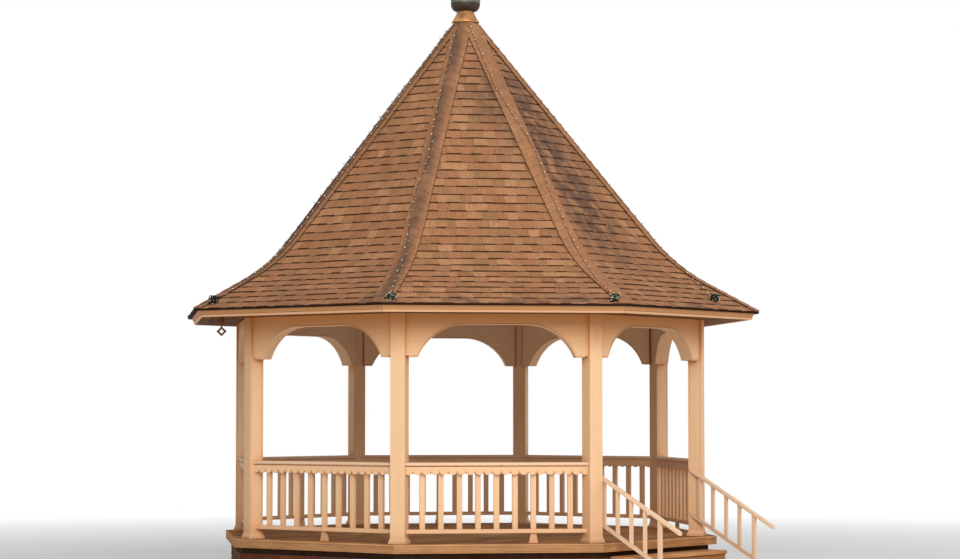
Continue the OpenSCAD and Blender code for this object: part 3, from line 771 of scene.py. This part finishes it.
def brickwork():
    """Six courses of stretchers in half bond round the eight sides, over a core of mortar set back."""
    bricks = Pile(1)
    pitch, rise, depth, joint = 0.225, 0.075, 0.1025, 0.010
    wall, mortar_set, face_set = 0.215, 0.009, 0.0022
    for course in range(6):
        start = (np.arange(-7, 7) + 0.5 * (course % 2)) * pitch
        for bay in BAYS:
            face = BRICK_FACE + bricks.random.uniform(-0.002, 0.002, len(start))
            solids = blocks((face - depth, face - face_set),
                            (start + joint / 2, start + pitch - joint / 2),
                            (course * rise + joint / 2, (course + 1) * rise - joint / 2))
            bricks.add(within_bay(solids, gap=0.004, least=0.03), (bay,))
    bricks.piece("bricks", BRICK, "brick", ("brick_base",), 0.004)
    core = box_section(BRICK_FACE - wall, BRICK_FACE - mortar_set, 0.0, BRICK_TOP)
    mitred(2, [core], 0.0, "brick_mortar", MORTAR, "brick")


def deck_boards():
    """Boards laid side by side over the octagon, each in two lengths and a little crowned, and pairs of
    screws over the joists. A board's ends reach to flat, or to root two times flat less how far the
    place is off the middle, whichever is less."""
    boards, screws = Pile(3), Pile(4)
    pitch, gap, butt, thick, drop = 0.1432, 0.005, 0.0015, 0.030, 0.0015
    joist, screw, screw_inset = 0.45, 0.0045, 0.03
    flat = DECK_EDGE - RIM_THICK - 0.001
    count = int(2 * flat / pitch)
    crown = np.array([0.0, 0.0012, 0.0])
    turn = full_turn(8)
    for i in range(count):
        y0 = (i - count / 2) * pitch + gap / 2
        y1 = y0 + pitch - gap
        bend = next((y for y in (-flat * TAN, flat * TAN) if y0 < y < y1), (y0 + y1) / 2)
        ys = np.array([y0, bend, y1])
        reach = np.minimum(flat, flat * math.sqrt(2) - np.abs(ys))
        joint = boards.random.choice([-0.9, -0.45, 0.45, 0.9])
        for left, right in ((-reach, joint - butt), (joint + butt, reach)):
            level = DECK - drop + crown
            top = sheet(join(left, ys, level), join(right, ys, level))
            boards.add(slab(top, top - (0, 0, thick)), (2,), along=0)
        joists = np.arange(-6, 7) * joist
        joists = joists[np.abs(joists) < reach.min() - 0.05]
        x, y = (v.reshape(-1, 1) for v in np.meshgrid(joists, (y0 + screw_inset, y1 - screw_inset)))
        rings = [join(x + screw * np.cos(turn), y + screw * np.sin(turn), level)
                 for level in (DECK - 0.004, DECK + 0.0004)]
        screws.add(tube(np.stack(rings, 1)), (2,))
    boards.piece("deck_boards", DECKING, "deck_wood", ("deck",), 0.003, 2)
    screws.piece("deck_screws", SCREW, "deck_wood")


def rim_boards():
    """Mitred boards round the edge of the deck, with a nosing along their top made paler as a painted
    highlight and a thin pale strip along their foot, both standing a little proud."""
    rim = Pile(5)
    strip, nosing, seam = RIM_BOTTOM + 0.010, DECK - 0.019, 0.0008
    # the nosing's high tone is a painted highlight on the top edge
    for low, high, set_back, tone in ((RIM_BOTTOM, strip, 0.001, 0.95), (strip, nosing, 0.005, 0.40),
                                      (nosing, DECK - 0.0005, 0.0, 0.98)):
        section = box_section(DECK_EDGE - RIM_THICK + 0.001, DECK_EDGE - set_back, low + seam, high)
        rim.add(across_bay([section], 0.0006), BAYS, tone=tone)
    rim.piece("rim_boards", RIMWOOD, "rim_wood", ("deck_rim",), 0.002)


def posts():
    """Each post is boxed from four boards: the two that face in and out cover the edges of the others."""
    r, half, inner, seam = POST_RADIUS, POST / 2, POST / 2 - BOARD, 0.0008
    up = (DECK, HEADER_TOP - 0.001)
    faces = blocks(([r - half, r + inner], [r - inner, r + half]), (-half, half), up)
    sides = blocks((r - inner + seam, r + inner - seam), ([-half, inner], [-inner, half]), up)
    pile = Pile(6).add(faces, CORNERS, along=2).add(sides, CORNERS, along=2)
    pile.piece("post_boards", PAINTED, "painted_wood", ("posts",), 0.003, 2)


def plinths():
    """Square blocks with a step and a hollow curve up to the post: each half width and level is a ring."""
    half = np.array([0.103, 0.103, 0.101, 0.095, 0.0945, 0.0915, 0.0885, 0.0875, 0.0875, 0.075])[:, None]
    level = np.array([0.0, 0.030, 0.032, 0.033, 0.043, 0.047, 0.056, 0.068, 0.076, 0.076])[:, None]
    rings = join(POST_RADIUS + half * (-1, 1, 1, -1), half * (-1, -1, 1, 1), DECK + level)
    Pile(7).add(tube(rings[None]), CORNERS).piece("plinth_blocks", PAINTED, "painted_wood",
                                                  ("post_plinths",), 0.002)


def arch_line(inset, reach):
    """Lower edge of a header: flat feet, two arcs of one radius and a flat crown, moved up by inset."""
    crown_half, middle, radius, foot = 0.34733, 1.870, 0.600 + inset, 2.100 + inset
    arc = np.linspace(math.asin((foot - middle) / radius), math.pi / 2, 20)
    side = np.concatenate([[reach], crown_half + radius * np.cos(arc)])
    level = np.concatenate([[foot], middle + radius * np.sin(arc)])
    return np.concatenate([-side, side[::-1]]), DECK + np.concatenate([level, level[::-1]])


def headers():
    """Two arched boards, one on each face, over a bent lining board whose edge stands out from both. The
    inner board stops short of the corner, so that a strip of the post shows between two of them."""
    back, proud, lining = HEADER_FACE - HEADER_THICK, 0.0025, 0.013
    outer_reach, inner_reach = 1.10, 1.012
    for bay in BAYS:
        boards = Pile(20 + bay)
        for near, reach in ((HEADER_FACE - BOARD, outer_reach), (back, inner_reach)):
            across, low = arch_line(lining + 0.001, reach)
            boards.add(edge_board(across, low, HEADER_TOP - 0.001, near, near + BOARD), (bay,))
        boards.piece(f"header_boards_{bay + 1}", PAINTED, "painted_wood", (f"header_{bay + 1}",),
                     0.0025, 2)
    grids = [sheet(*(join(out, *line) for out in (back - proud, HEADER_FACE + proud)))
             for line in (arch_line(0.0, inner_reach), arch_line(lining, inner_reach))]
    Pile(19).add(slab(*grids), BAYS).piece("arch_linings", PAINTED, "painted_wood", (), 0.003, 2)


def railings():
    """Top and bottom rails, nine balusters and a flared foot in each of seven bays. The foot in the bay
    to the left of the stair stands two balusters off the middle."""
    pitch, half_wide, half_thick = 0.211125, 0.031, 0.019
    low_rail, high_rail = DECK + 0.115, CAP_BOTTOM - TOP_RAIL
    low_rail_top = low_rail + 0.045
    inner, outer = APOTHEM - TOP_RAIL / 2, APOTHEM + TOP_RAIL / 2
    foot_level = DECK + np.array([0.0, 0.012, 0.030, 0.060, 0.090, 0.116])
    foot_half = np.array([0.052, 0.052, 0.047, 0.041, 0.036, 0.032])
    place = np.arange(-4, 5) * pitch
    for bay in RAILED:
        shift = 2 * pitch if bay == 7 else 0.0
        foot = [sheet(*(join(out, shift + side * foot_half, foot_level) for side in (-1, 1)))
                for out in (APOTHEM + half_thick, APOTHEM - half_thick)]
        pile = Pile(40 + bay)
        pile.add(across_bay([box_section(inner, outer, high_rail, CAP_BOTTOM),
                             box_section(inner, outer, low_rail, low_rail_top)], reach=IN_POST), (bay,))
        pile.add(blocks((APOTHEM - half_thick, APOTHEM + half_thick), (place - half_wide, place + half_wide),
                        (low_rail_top - 0.002, high_rail + 0.002)), (bay,), along=2)
        pile.add(slab(*foot), (bay,), along=2)
        pile.piece(f"railing_work_{bay + 1}", PAINTED, "painted_wood", (f"railing_{bay + 1}",), 0.003, 2)


def rail_caps():
    """Caps whose two edges are half circles."""
    middle, half_wide, radius = APOTHEM + 0.006, 0.078, 0.020
    turn = np.linspace(-math.pi / 2, math.pi / 2, 7)
    nose = half_wide - radius + radius * np.cos(turn)
    level = CAP_BOTTOM + radius + radius * np.sin(turn)
    section = np.concatenate([join(middle + nose, level), join(middle - nose, level)[::-1]])
    # pale paint: painted highlight on caps that face the light
    Pile(60).add(across_bay([section], reach=IN_POST), RAILED).piece(
        "rail_cap_boards", PALE_HIGHLIGHT_PAINT, "painted_wood", ("rail_caps",))


def valances():
    """Boards whose lower edge is a row of arcs: the level is the arc's over the nearest middle."""
    pitch, depth, height, gap, seam = 0.101, 0.046, 0.102, 0.009, 0.0005
    radius = ((pitch / 2) ** 2 + depth ** 2) / (2 * depth)
    across = np.arange(-84, 85) * pitch / 8
    across = across[np.abs(across) < IN_POST]
    off = across - pitch * np.round(across / pitch)
    low = CAP_BOTTOM - height + radius - np.sqrt(radius ** 2 - off ** 2)
    face = APOTHEM + TOP_RAIL / 2
    board = edge_board(across, low, CAP_BOTTOM - gap, face + seam, face + BOARD)
    Pile(61).add(board, RAILED).piece("scallop_boards", PAINTED, "painted_wood",
                                      ("scalloped_valances",), 0.0015)


# Stair, in metres
TREAD_RUN, RISER = 0.270, 0.155
STAIR_HALF = 0.9905


def stair_steps():
    """Three treads of two boards each, with risers set back under their nosings."""
    boards, risers = Pile(62), Pile(63)
    nosing, thick, riser_thick, board, seam = 0.025, 0.040, 0.020, 0.140, 0.0025
    front = DECK_EDGE + TREAD_RUN * np.arange(5)
    back = front - TREAD_RUN - nosing - riser_thick
    back[1] = BRICK_FACE + 0.010
    top = DECK - RISER * np.arange(5)
    for i in (1, 2, 3):
        split = front[i] - board
        boards.add(blocks(([back[i], split + seam], [split - seam, front[i]]), (-STAIR_HALF, STAIR_HALF),
                          (top[i] - thick, top[i])))
        side = STAIR_HALF - 0.002
        risers.add(blocks((back[i + 1], back[i + 1] + riser_thick), (-side, side),
                          (top[i + 1] + 0.001, top[i] - thick - 0.001)))
    boards.piece("tread_boards", TREADWOOD, "deck_wood", ("stair_treads",), 0.004, 2)
    risers.piece("riser_boards", TREADWOOD, "deck_wood", ("stair_risers",), 0.002)


def stair_rails():
    """Sloping handrails and lower rails with four balusters and a newel, cut to the slope."""
    slope = RISER / TREAD_RUN
    plane, root, end, newel = STAIR_HALF + 0.022, APOTHEM - 0.037, 3.78967, 3.51767
    height, spread, side_of_baluster, side_of_newel = 0.797, 0.530, 0.038, 0.044
    thick = 0.038 / math.cos(math.atan(slope))
    balusters = APOTHEM + 0.103 + 0.184 * np.arange(4)

    def level(out):
        return DECK + height - (out - APOTHEM) * slope

    def bar(width, drop, stop, ease=0.0):
        """A rail from its root to where it stops, its two upper edges eased."""
        w = width / 2
        side = np.array([-w, w, w, w - ease, ease - w, -w])
        rise = np.array([-thick, -thick, -ease, 0, 0, -ease]) - drop
        return np.stack([join(out, side, level(out) + rise) for out in (root, stop)])[None]

    def upright(places, size, ground):
        out = np.reshape(places, (-1, 1)) + size / 2 * np.array([-1, 1, 1, -1])
        side = size / 2 * np.array([-1, -1, 1, 1])
        foot = 0.0 if ground else level(out) - spread
        return np.stack([join(out, side, z) for z in (foot, level(out) - thick + 0.002)], 1)

    for name, side in (("left", -1), ("right", 1)):
        pile = Pile(70 + side)
        for rings, along in ((bar(0.064, 0.0, end, 0.008), 0), (bar(0.038, spread, newel), 0),
                             (upright(balusters, side_of_baluster, False), 2),
                             (upright(newel, side_of_newel, True), 2)):
            pile.add(tube(rings + (0, side * plane, 0)), along=along)
        # pale paint: painted highlight on the handrails
        pile.piece(f"stair_railing_{name}", PALE_HIGHLIGHT_PAINT, "painted_wood", (f"stair_rail_{name}",), 0.003, 2)


def roof_line(run, height=0.0):
    """Distance out and level of the roof, a run up its slope from the eave and a height over it:
    straight at the flare's angle, then along an arc, then straight at the steep angle."""
    run = np.asarray(run, float)
    angle = np.clip(FLARE + (run - FLARE_LENGTH) / ARC_RADIUS, FLARE, STEEP)
    low = np.minimum(run, FLARE_LENGTH)
    high = np.maximum(run - FLARE_LENGTH - ARC_LENGTH, 0)
    out = (EAVE - low * math.cos(FLARE) - ARC_RADIUS * (np.sin(angle) - math.sin(FLARE))
           - high * math.cos(STEEP) + height * np.sin(angle))
    level = (EAVE_TOP + low * math.sin(FLARE) + ARC_RADIUS * (math.cos(FLARE) - np.cos(angle))
             + high * math.sin(STEEP) + height * np.cos(angle))
    return out, level


def level_over(out, height):
    """Level of the roof at a distance out, read from its line."""
    line = roof_line(np.linspace(-0.1, ROOF_RUN + 0.1, 900), height)
    return np.interp(out, line[0][::-1], line[1][::-1])


def shingles():
    """Laminated shingles: courses of tabs, thick and thin by turns, each a wedge that is thickest at its
    butt, with the edges between tabs slanted, cut off at the hips."""
    courses, per_course, base, lap = int(ROOF_RUN / EXPOSURE), 26, -0.0166, 0.022
    course = EXPOSURE * np.arange(courses)[:, None]
    slant = 0.006 * (-1.0) ** np.arange(per_course)
    for bay in BAYS:
        pile = Pile(100 + bay)
        random = pile.random
        widths = random.uniform(0.10, 0.185, (courses, per_course))
        edges = np.cumsum(widths, 1) - widths.sum(1, keepdims=True) / 2
        edges += random.uniform(-0.1, 0.1, (courses, 1))
        butt = course + random.uniform(-0.004, 0.003, widths.shape)
        butt[0] = random.uniform(0.0, 0.004, per_course)
        head = course + EXPOSURE + np.full(widths.shape, lap)
        thick = (np.arange(per_course) % 2 == 0) | (random.random(widths.shape) < 0.12)
        rise = np.where(thick, 0.0155, 0.0088) + random.uniform(-0.0012, 0.0008, widths.shape)
        tone = 0.5 * random.random(widths.shape) + 0.5 * thick

        def line(run, height, lean):
            """The two corners of every tab at a run, each edge shifted by its slant."""
            out, level = roof_line(run[:, 1:], base + height)
            edge = edges + lean * slant
            sides = [join(out, side, level) for side in (edge[:, :-1], edge[:, 1:])]
            return np.stack(sides, 2).reshape(-1, 2, 3)

        upper = np.stack([line(butt, rise[:, 1:], 1), line(head, 0.0042, -1)], 1)
        lower = np.stack([line(butt, 0.0034, 1), line(head, 0.0004, -1)], 1)
        points, faces = slab(upper, lower)
        out, across, up = np.moveaxis(points, -1, 0)
        up_tab = (head - butt)[:, 1:].reshape(-1, 1) * (0, 0, 1, 1, 0, 0, 1, 1)
        limit = out * TAN - 0.003
        clipped = np.clip(across, -limit, limit)
        butt_width, head_width = np.abs(clipped[:, 1:4:2] - clipped[:, 0:4:2]).T
        kept = (butt_width > 0.012) & (head_width > 0.002)
        pile.add((join(out, clipped, up)[kept], [face[kept] for face in faces]), (bay,),
                 grain=join(across, up_tab, up)[kept], tone=tone[:, 1:].ravel()[kept])
        pile.piece(f"shingles_{bay + 1}", SHINGLE, "shingle", (f"roof_panel_{bay + 1}",))


def roof_boards():
    """Sheathing boards under the shingles, laid level across each bay and mitred at the hips."""
    width, gap, foot, top_depth, bottom_depth = 0.140, 0.003, 0.045, 0.0150, 0.0395
    start = foot + width * np.arange(int((ROOF_RUN - 0.05) / width))
    runs = join(start, start + width - gap)
    sections = np.concatenate([join(*roof_line(runs, -top_depth)),
                               join(*roof_line(runs[:, ::-1], -bottom_depth))], 1)
    mitred(110, sections, 0.001, "sheathing_boards", SHEATHING, "rough_wood")


def hip_shingles():
    """Cap shingles bent over each hip: a grid across and along, whose level is the roof's at the
    distance out that its place on either side of the hip has."""
    lap = 0.030
    start = HIP_STEP * np.arange(int(ROOF_RUN / HIP_STEP))
    across = np.linspace(-HIP_HALF, HIP_HALF, 9)
    bent = SIN * (np.sqrt(across ** 2 + 0.010 ** 2) - 0.004)
    runs = join(start, start + (HIP_STEP + lap) / 2, start + HIP_STEP + lap)
    out = np.minimum(roof_line(runs)[0][:, :, None] + bent, EAVE - 0.0006)

    def face(heights):
        level = np.stack([level_over(out[:, i], height) for i, height in enumerate(heights)], 1)
        return join((out - bent) / COS, across, level)

    solids = slab(face((0.0108, 0.0075, 0.0035)), face((0.0015, 0.0008, 0.0002)))
    up_tab = np.tile(np.repeat(runs - start[:, None], len(across), 1), 2)
    grain = join(solids[0][..., 1], up_tab, solids[0][..., 2])
    Pile(111).add(solids, CORNERS, grain=grain).piece("hip_cap_shingles", HIP_SHINGLE, "shingle",
                                                      ("hip_caps",))


def on_hip(run, aside, height):
    """Points in the frame of a corner: on the roof's line at a run up from the eave, set aside from the
    hip, so that what is lost in distance out on either face is taken off the radius."""
    out, level = roof_line(run, height)
    return join((out - np.abs(aside) * SIN) / COS, aside, level)


# Strings of lamps that show: how far up the slope, and how far aside of the hip they lie there
STRINGS = {-0.5: ((0.10, 0.30, 0.52, 0.95, 1.50, 2.16, 2.45, 2.75, 3.20, 3.80, 5.00),
                  (-0.130, -0.095, -0.090, -0.030, -0.010, -0.010, 0.035, 0.070, -0.010, -0.085, -0.060)),
           0.5: ((0.25, 0.60, 1.00, 1.60, 2.20, 3.00, 5.00),
                 (-0.600, -0.300, -0.060, -0.020, -0.050, -0.030, -0.040)),
           5.5: ((0.16, 0.50, 1.00, 2.00, 3.00, 5.00),
                 (0.165, 0.120, 0.070, 0.050, 0.060, 0.040)),
           6.5: ((0.07, 0.30, 0.70, 1.00, 1.30, 1.70, 1.95, 2.20, 2.60, 2.90, 3.35, 4.30, 5.00),
                 (0.098, 0.068, 0.025, 0.020, -0.015, -0.068, -0.084, -0.063, 0.005, -0.016, -0.052, -0.050,
                  -0.050))}
NO_SLACK = 4.5


def strings_of_lamps():
    """A wire down each hip with a lamp every 12 cm, and its slack in a tangle at the eave: closed lines
    whose three coordinates are sums of sines inside a flattened ball."""
    wires, lamps = Pile(112), Pile(113)
    socket = ((-0.002, 0.0045), (0.011, 0.0048), (0.013, 0.0035))
    bulb = np.array([(0.011, 0.0042), (0.015, 0.0062), (0.021, 0.0066), (0.027, 0.0045), (0.030, 0.0012)])
    thin, bunched, loops, ball = 0.0019, 0.0036, 5, (0.052, 0.062, 0.046)

    def hang(foot, axis, corner, size=1.0):
        wires.add(beads(foot, axis, socket), (corner,))
        lamps.add(beads(foot, axis, size * bulb), (corner,))

    for corner in CORNERS:
        random = np.random.default_rng(int(300 + 2 * corner))
        swing = random.uniform(-0.06, 0.06, 12) * np.linspace(1.6, 0.6, 12)
        spots, sway = STRINGS.get(corner, (np.linspace(0.08, ROOF_RUN, 12), swing))
        runs = np.arange(spots[0], ROOF_RUN - 0.12, 0.03)
        aside = np.interp(runs, spots, sway) + random.uniform(-0.004, 0.004, len(runs))
        raised = np.interp(np.abs(aside), (HIP_HALF - 0.008, HIP_HALF + 0.008), (HIP_CAP_THICK, 0.001))
        path = on_hip(runs, aside, raised + 0.0025)
        wires.add(along_path(path, thin), (corner,))
        picked = path[1::4] + (0, 0, 0.003)
        count = len(picked)
        hang(picked, join(random.uniform(0.4, 1.0, count), random.uniform(-0.9, 0.9, count),
                          random.uniform(-0.2, 0.6, count)), corner)
        middle = on_hip(max(spots[0] - 0.02, 0.05), sway[0], 0.034)
        for loop in range(0 if corner == NO_SLACK else loops):
            turn = np.linspace(0, 2 * np.pi, 170)
            waves = random.integers(3, 10, (3, 4, 1))
            phase = random.uniform(0, 6.3, (3, 4, 1))
            curl = np.sin(waves * turn + phase).mean(1)
            curl /= np.abs(curl).max(1, keepdims=True)
            knot = middle + curl.T * ball
            knot[:, 0] = np.minimum(knot[:, 0], (EAVE - 0.036 - np.abs(knot[:, 1]) * SIN) / COS)
            wires.add(along_path(knot, bunched, 5), (corner,))
            picked = knot[::24]
            hang(picked, picked - middle + random.uniform(-0.02, 0.02, picked.shape), corner, 0.7)
    wires.piece("light_wires", WIRE, "light_wire", ("light_strings",))
    lamps.piece("light_lamps", LAMP, "light_wire")


def eaves():
    """Fascia boards that lean in at the foot, darkened as painted shade, over a strip that stands out,
    darkened less, with a drip edge made near black as painted shade between them and the shingles, and
    soffit boards behind."""
    top = np.array([3.3302, DECK + 2.6729])
    foot = np.array([3.2883, DECK + 2.6012])
    depth = np.linalg.norm(foot - top)
    fall = (foot - top) / depth
    lean = np.array([-fall[1], fall[0]])

    def board(high, low, front, back):
        """A section from one distance down the slope to another, between two distances off its face."""
        return [top + fall * drop + lean * stand
                for drop, stand in ((high, front), (low, front), (low, back), (high, back))]

    edges = np.linspace(HEADER_FACE + 0.001, 3.2660, 5)
    low, high = DECK + 2.5933, DECK + 2.6118
    soffit = [box_section(a + 0.002, b - 0.002, low, high) for a, b in zip(edges[:-1], edges[1:])]
    drip = box_section(3.3375, 3.3715, DECK + 2.6605, DECK + 2.6780)
    # both paints are the peach paint darkened as painted shade, the boards more than the strip
    mitred(120, [board(0.002, depth - 0.018, -0.001, -0.021)], 0.0016,
           "fascia_boards", SHADED_FASCIA_PAINT, "painted_wood", ("fascia",), 0.0015)
    mitred(121, [board(depth - 0.017, depth + 0.015, 0.004, -0.014)], 0.0016,
           "fascia_strips", SHADED_STRIP_PAINT, "painted_wood", (), 0.0015)
    mitred(122, [drip], 0.0004, "drip_edge", DRIP_IN_PAINTED_SHADE, "dark_wood", (), 0.001)
    mitred(123, soffit, 0.0005, "soffit_boards", SOFFITWOOD, "dark_wood", ("soffit",), 0.003)


def ring_fixture():
    """A square ring set on its corner, hung by a short strap from a block under the soffit of bay 7."""
    bay, middle, level, out = 6, -1.318, DECK + 2.428, 2.99
    outer, inner, half_thick, flatten = 0.076, 0.042, 0.008, 0.72
    corner = np.array([[0, flatten], [1, 0], [0, -flatten], [-1, 0]])
    section = np.stack([join(out + shift, middle + size * corner[:, 0], level + size * corner[:, 1])
                        for shift, size in ((-half_thick, outer), (-half_thick, inner),
                                            (half_thick, inner), (half_thick, outer))], 1)
    ring = Pile(124)
    for here, there in zip(section, np.roll(section, -1, 0)):
        ring.add(tube(np.stack([here, there])[None]), (bay,))
    ring.piece("soffit_ring", GREYWOOD, "painted_wood", (), 0.001)
    block_and_strap = blocks(([out - 0.020, out - 0.005], [out + 0.020, out + 0.005]),
                             ([middle - 0.030, middle - 0.010], [middle + 0.030, middle + 0.010]),
                             ([DECK + 2.530, level + 0.050], [DECK + 2.5935, DECK + 2.531]))
    Pile(125).add(block_and_strap, (bay,)).piece("soffit_ring_block", SOFFITWOOD, "dark_wood", (), 0.002)


def lantern():
    """Collar, bowl, bars, panes, lamp and cap of the lantern, turned from profiles or mitred round."""
    hole, seam, quarter = 0.02, 0.0005, math.pi / 2
    low, high, face = BOWL_TOP, LANTERN_TOP, LANTERN_FACE - seam
    curve = np.linspace(0, 1, 9)
    cone = join(COLLAR_FOOT + (COLLAR_NECK - COLLAR_FOOT) * curve - 0.006 * np.sin(np.pi * curve),
                COLLAR_BOTTOM + 0.010 + (COLLAR_TOP - COLLAR_BOTTOM - 0.014) * curve)
    collar = [(COLLAR_FOOT - 0.012, COLLAR_BOTTOM), (COLLAR_FOOT, COLLAR_BOTTOM),
              (COLLAR_FOOT, COLLAR_BOTTOM + 0.006), *cone, (COLLAR_NECK, COLLAR_TOP - seam),
              (hole, COLLAR_TOP - seam)]
    rim, foot = LANTERN_FACE + 0.006, COLLAR_NECK - 0.004
    sweep = np.linspace(0, quarter, 12)
    cup = join(foot + (rim - foot) * np.sin(sweep), COLLAR_TOP + 0.098 * (1 - np.cos(sweep)))
    bowl = [(hole, COLLAR_TOP), *cup, (rim, BOWL_TOP - seam), (hole, BOWL_TOP - seam)]
    turned(130, collar, 48, "collar_cone", COPPER, "copper", ("roof_collar",))
    turned(131, bowl, 48, "bowl_metal", IRON, "lantern_metal", ("lantern_bowl",))
    bars = Pile(132)
    for level, top in ((low, low + 0.020), (high - 0.020, high - seam)):
        bars.add(across_bay([box_section(face - 0.012, face, level, top)], 0.0), BAYS)
    bars.add(blocks((face / COS - 0.019, face / COS - 0.004), (-0.010, 0.010), (low + 0.001, high - 0.001)),
             CORNERS, along=2)
    bars.piece("lantern_bars", BARS, "lantern_metal", ("lantern_frame",), 0.001)
    pane = box_section(face - 0.016, face - 0.013, low + 0.004, high - 0.004)
    mitred(133, [pane], 0.002, "lantern_panes", GLASS, "lantern_glass", ("lantern_glass",))
    holder = [(0.012, 0.0), (0.045, 0.0), (0.045, 0.012), (0.014, 0.02), (0.014, 0.15), (0.022, 0.152),
              (0.022, 0.2), (0.012, 0.203)]
    turned(135, np.array(holder) + (0, low), 20, "lantern_lamp_holder", IRON, "lantern_metal")
    angle = np.linspace(0.35, math.pi - 0.02, 12)
    glow = join(0.038 * np.sin(angle), low + 0.238 - 0.042 * np.cos(angle))
    turned(136, glow, 20, "lantern_lamp", LAMP, "lantern_glass")
    rim, rise, tip, knob = LANTERN_FACE + 0.034, 0.190, 0.016, 0.034
    bell = np.linspace(0, quarter, 14)
    roof = join(tip + (rim - tip) * (1 - np.sin(bell)), high + 0.014 + (rise - 0.014) * (1 - np.cos(bell)))
    ball = np.linspace(0.5, math.pi - 0.02, 12)
    top = join(knob * np.sin(ball), TOP_OF_ALL - knob - knob * np.cos(ball))
    cap = [(hole, high), (rim - 0.004, high), (rim, high + 0.004), *roof, *top]
    turned(134, cap, 48, "cap_metal", COPPER, "copper", ("lantern_cap",))


def carried_over():
    """The frame's own parts that keep their shape, with their finishes."""
    for name, finish in (("centre_pier", PIER), ("sill_plate", SILLWOOD), ("floor_frame", FRAMEWOOD),
                         ("stair_stringers", FRAMEWOOD), ("rafters", FRAMEWOOD)):
        slots = frame["nodes"][name].data.materials
        slots.clear()
        slots.append(finish)


for build in (brickwork, deck_boards, rim_boards, posts, plinths, headers, railings, rail_caps, valances,
              stair_steps, stair_rails, shingles, roof_boards, hip_shingles, strings_of_lamps, eaves,
              ring_fixture, lantern, carried_over):
    build()


def camera_place():
    """The view of the photograph: distance, heading, tilt and lens worked out from its corners."""
    lens = bpy.data.cameras.new("camera")
    lens.lens = 97.568
    lens.sensor_width = 36.0
    lens.clip_end = 300.0
    heading, tilt = 0.6475, 0.0519
    camera = in_scene("camera", lens)
    camera.location = (-25.5238, -19.5295, 2.0715)
    camera.rotation_euler = (math.pi / 2 + tilt, 0.0, heading - math.pi / 2)
    bpy.context.scene.camera = camera


def pale_floor(w):
    cloud = w.noise(w.object_place(), 3.0, 3.0)
    return {"Base Color": w.mix(cloud, (0.84, 0.835, 0.83), (0.86, 0.855, 0.85)), "Roughness": 0.9,
            "Specular IOR Level": 0.1}


def floor_finish():
    """A pale floor that fades to white a long way out, so that no horizon shows."""
    made = material("pale floor", pale_floor)
    w = Wires(made.node_tree)
    away = w.add("VectorMath", {0: w.object_place()}, "Value", operation="LENGTH")
    white = w.add("Emission", {"Color": WHITE, "Strength": 1.0})
    surface = made.node_tree.nodes["Principled BSDF"].outputs[0]
    both = w.add("MixShader", {0: w.span(away, 9.0, 22.0), 1: surface, 2: white})
    w.give(made.node_tree.nodes["Material Output"].inputs["Surface"], both)
    return made


def floor():
    mesh = bpy.data.meshes.new("floor")
    reach = 90.0
    corners = [(-reach, -reach, 0), (reach, -reach, 0), (reach, reach, 0), (-reach, reach, 0)]
    mesh.from_pydata(corners, [], [(0, 1, 2, 3)])
    mesh.materials.append(floor_finish())
    in_scene("floor", mesh)


def lamp(name, power, azimuth, elevation):
    """A square soft box aimed at the middle of the object; its azimuth is its polar angle."""
    size, distance, aim = 12.0, 24.0, (0.0, 0.0, 2.5)
    light = bpy.data.lights.new(name, "AREA")
    light.size = size
    light.energy = power
    turn, lift = math.radians(azimuth), math.radians(elevation)
    away = (math.cos(turn) * math.cos(lift), math.sin(turn) * math.cos(lift), math.sin(lift))
    piece = in_scene(name, light)
    piece.location = [distance * c + m for c, m in zip(away, aim)]
    piece.rotation_euler = (math.pi / 2 - lift, 0.0, turn + math.pi / 2)


def world():
    """Soft white light from all round, and plain white where the camera, gloss or glass sees it."""
    made = bpy.data.worlds.new("studio")
    made.use_nodes = True
    w = Wires(made.node_tree)
    path = w.add("LightPath", outlet=None).outputs
    seen = w.most(path["Is Camera Ray"], path["Is Glossy Ray"], path["Is Transmission Ray"])
    soft = made.node_tree.nodes["Background"]
    w.give(soft.inputs["Color"], WHITE)
    w.give(soft.inputs["Strength"], 0.38)
    white = w.add("Background", {"Color": WHITE, "Strength": 1.0})
    both = w.add("MixShader", {0: seen, 1: soft.outputs[0], 2: white})
    w.give(made.node_tree.nodes["World Output"].inputs["Surface"], both)
    bpy.context.scene.world = made


camera_place()
floor()
world()
lamp("key", 3350.0, 225.0, 24.0)
lamp("side", 950.0, 298.0, 20.0)
lamp("top", 1500.0, 217.0, 80.0)
bpy.context.scene.view_settings.view_transform = "Standard"

bpy.context.view_layer.update()
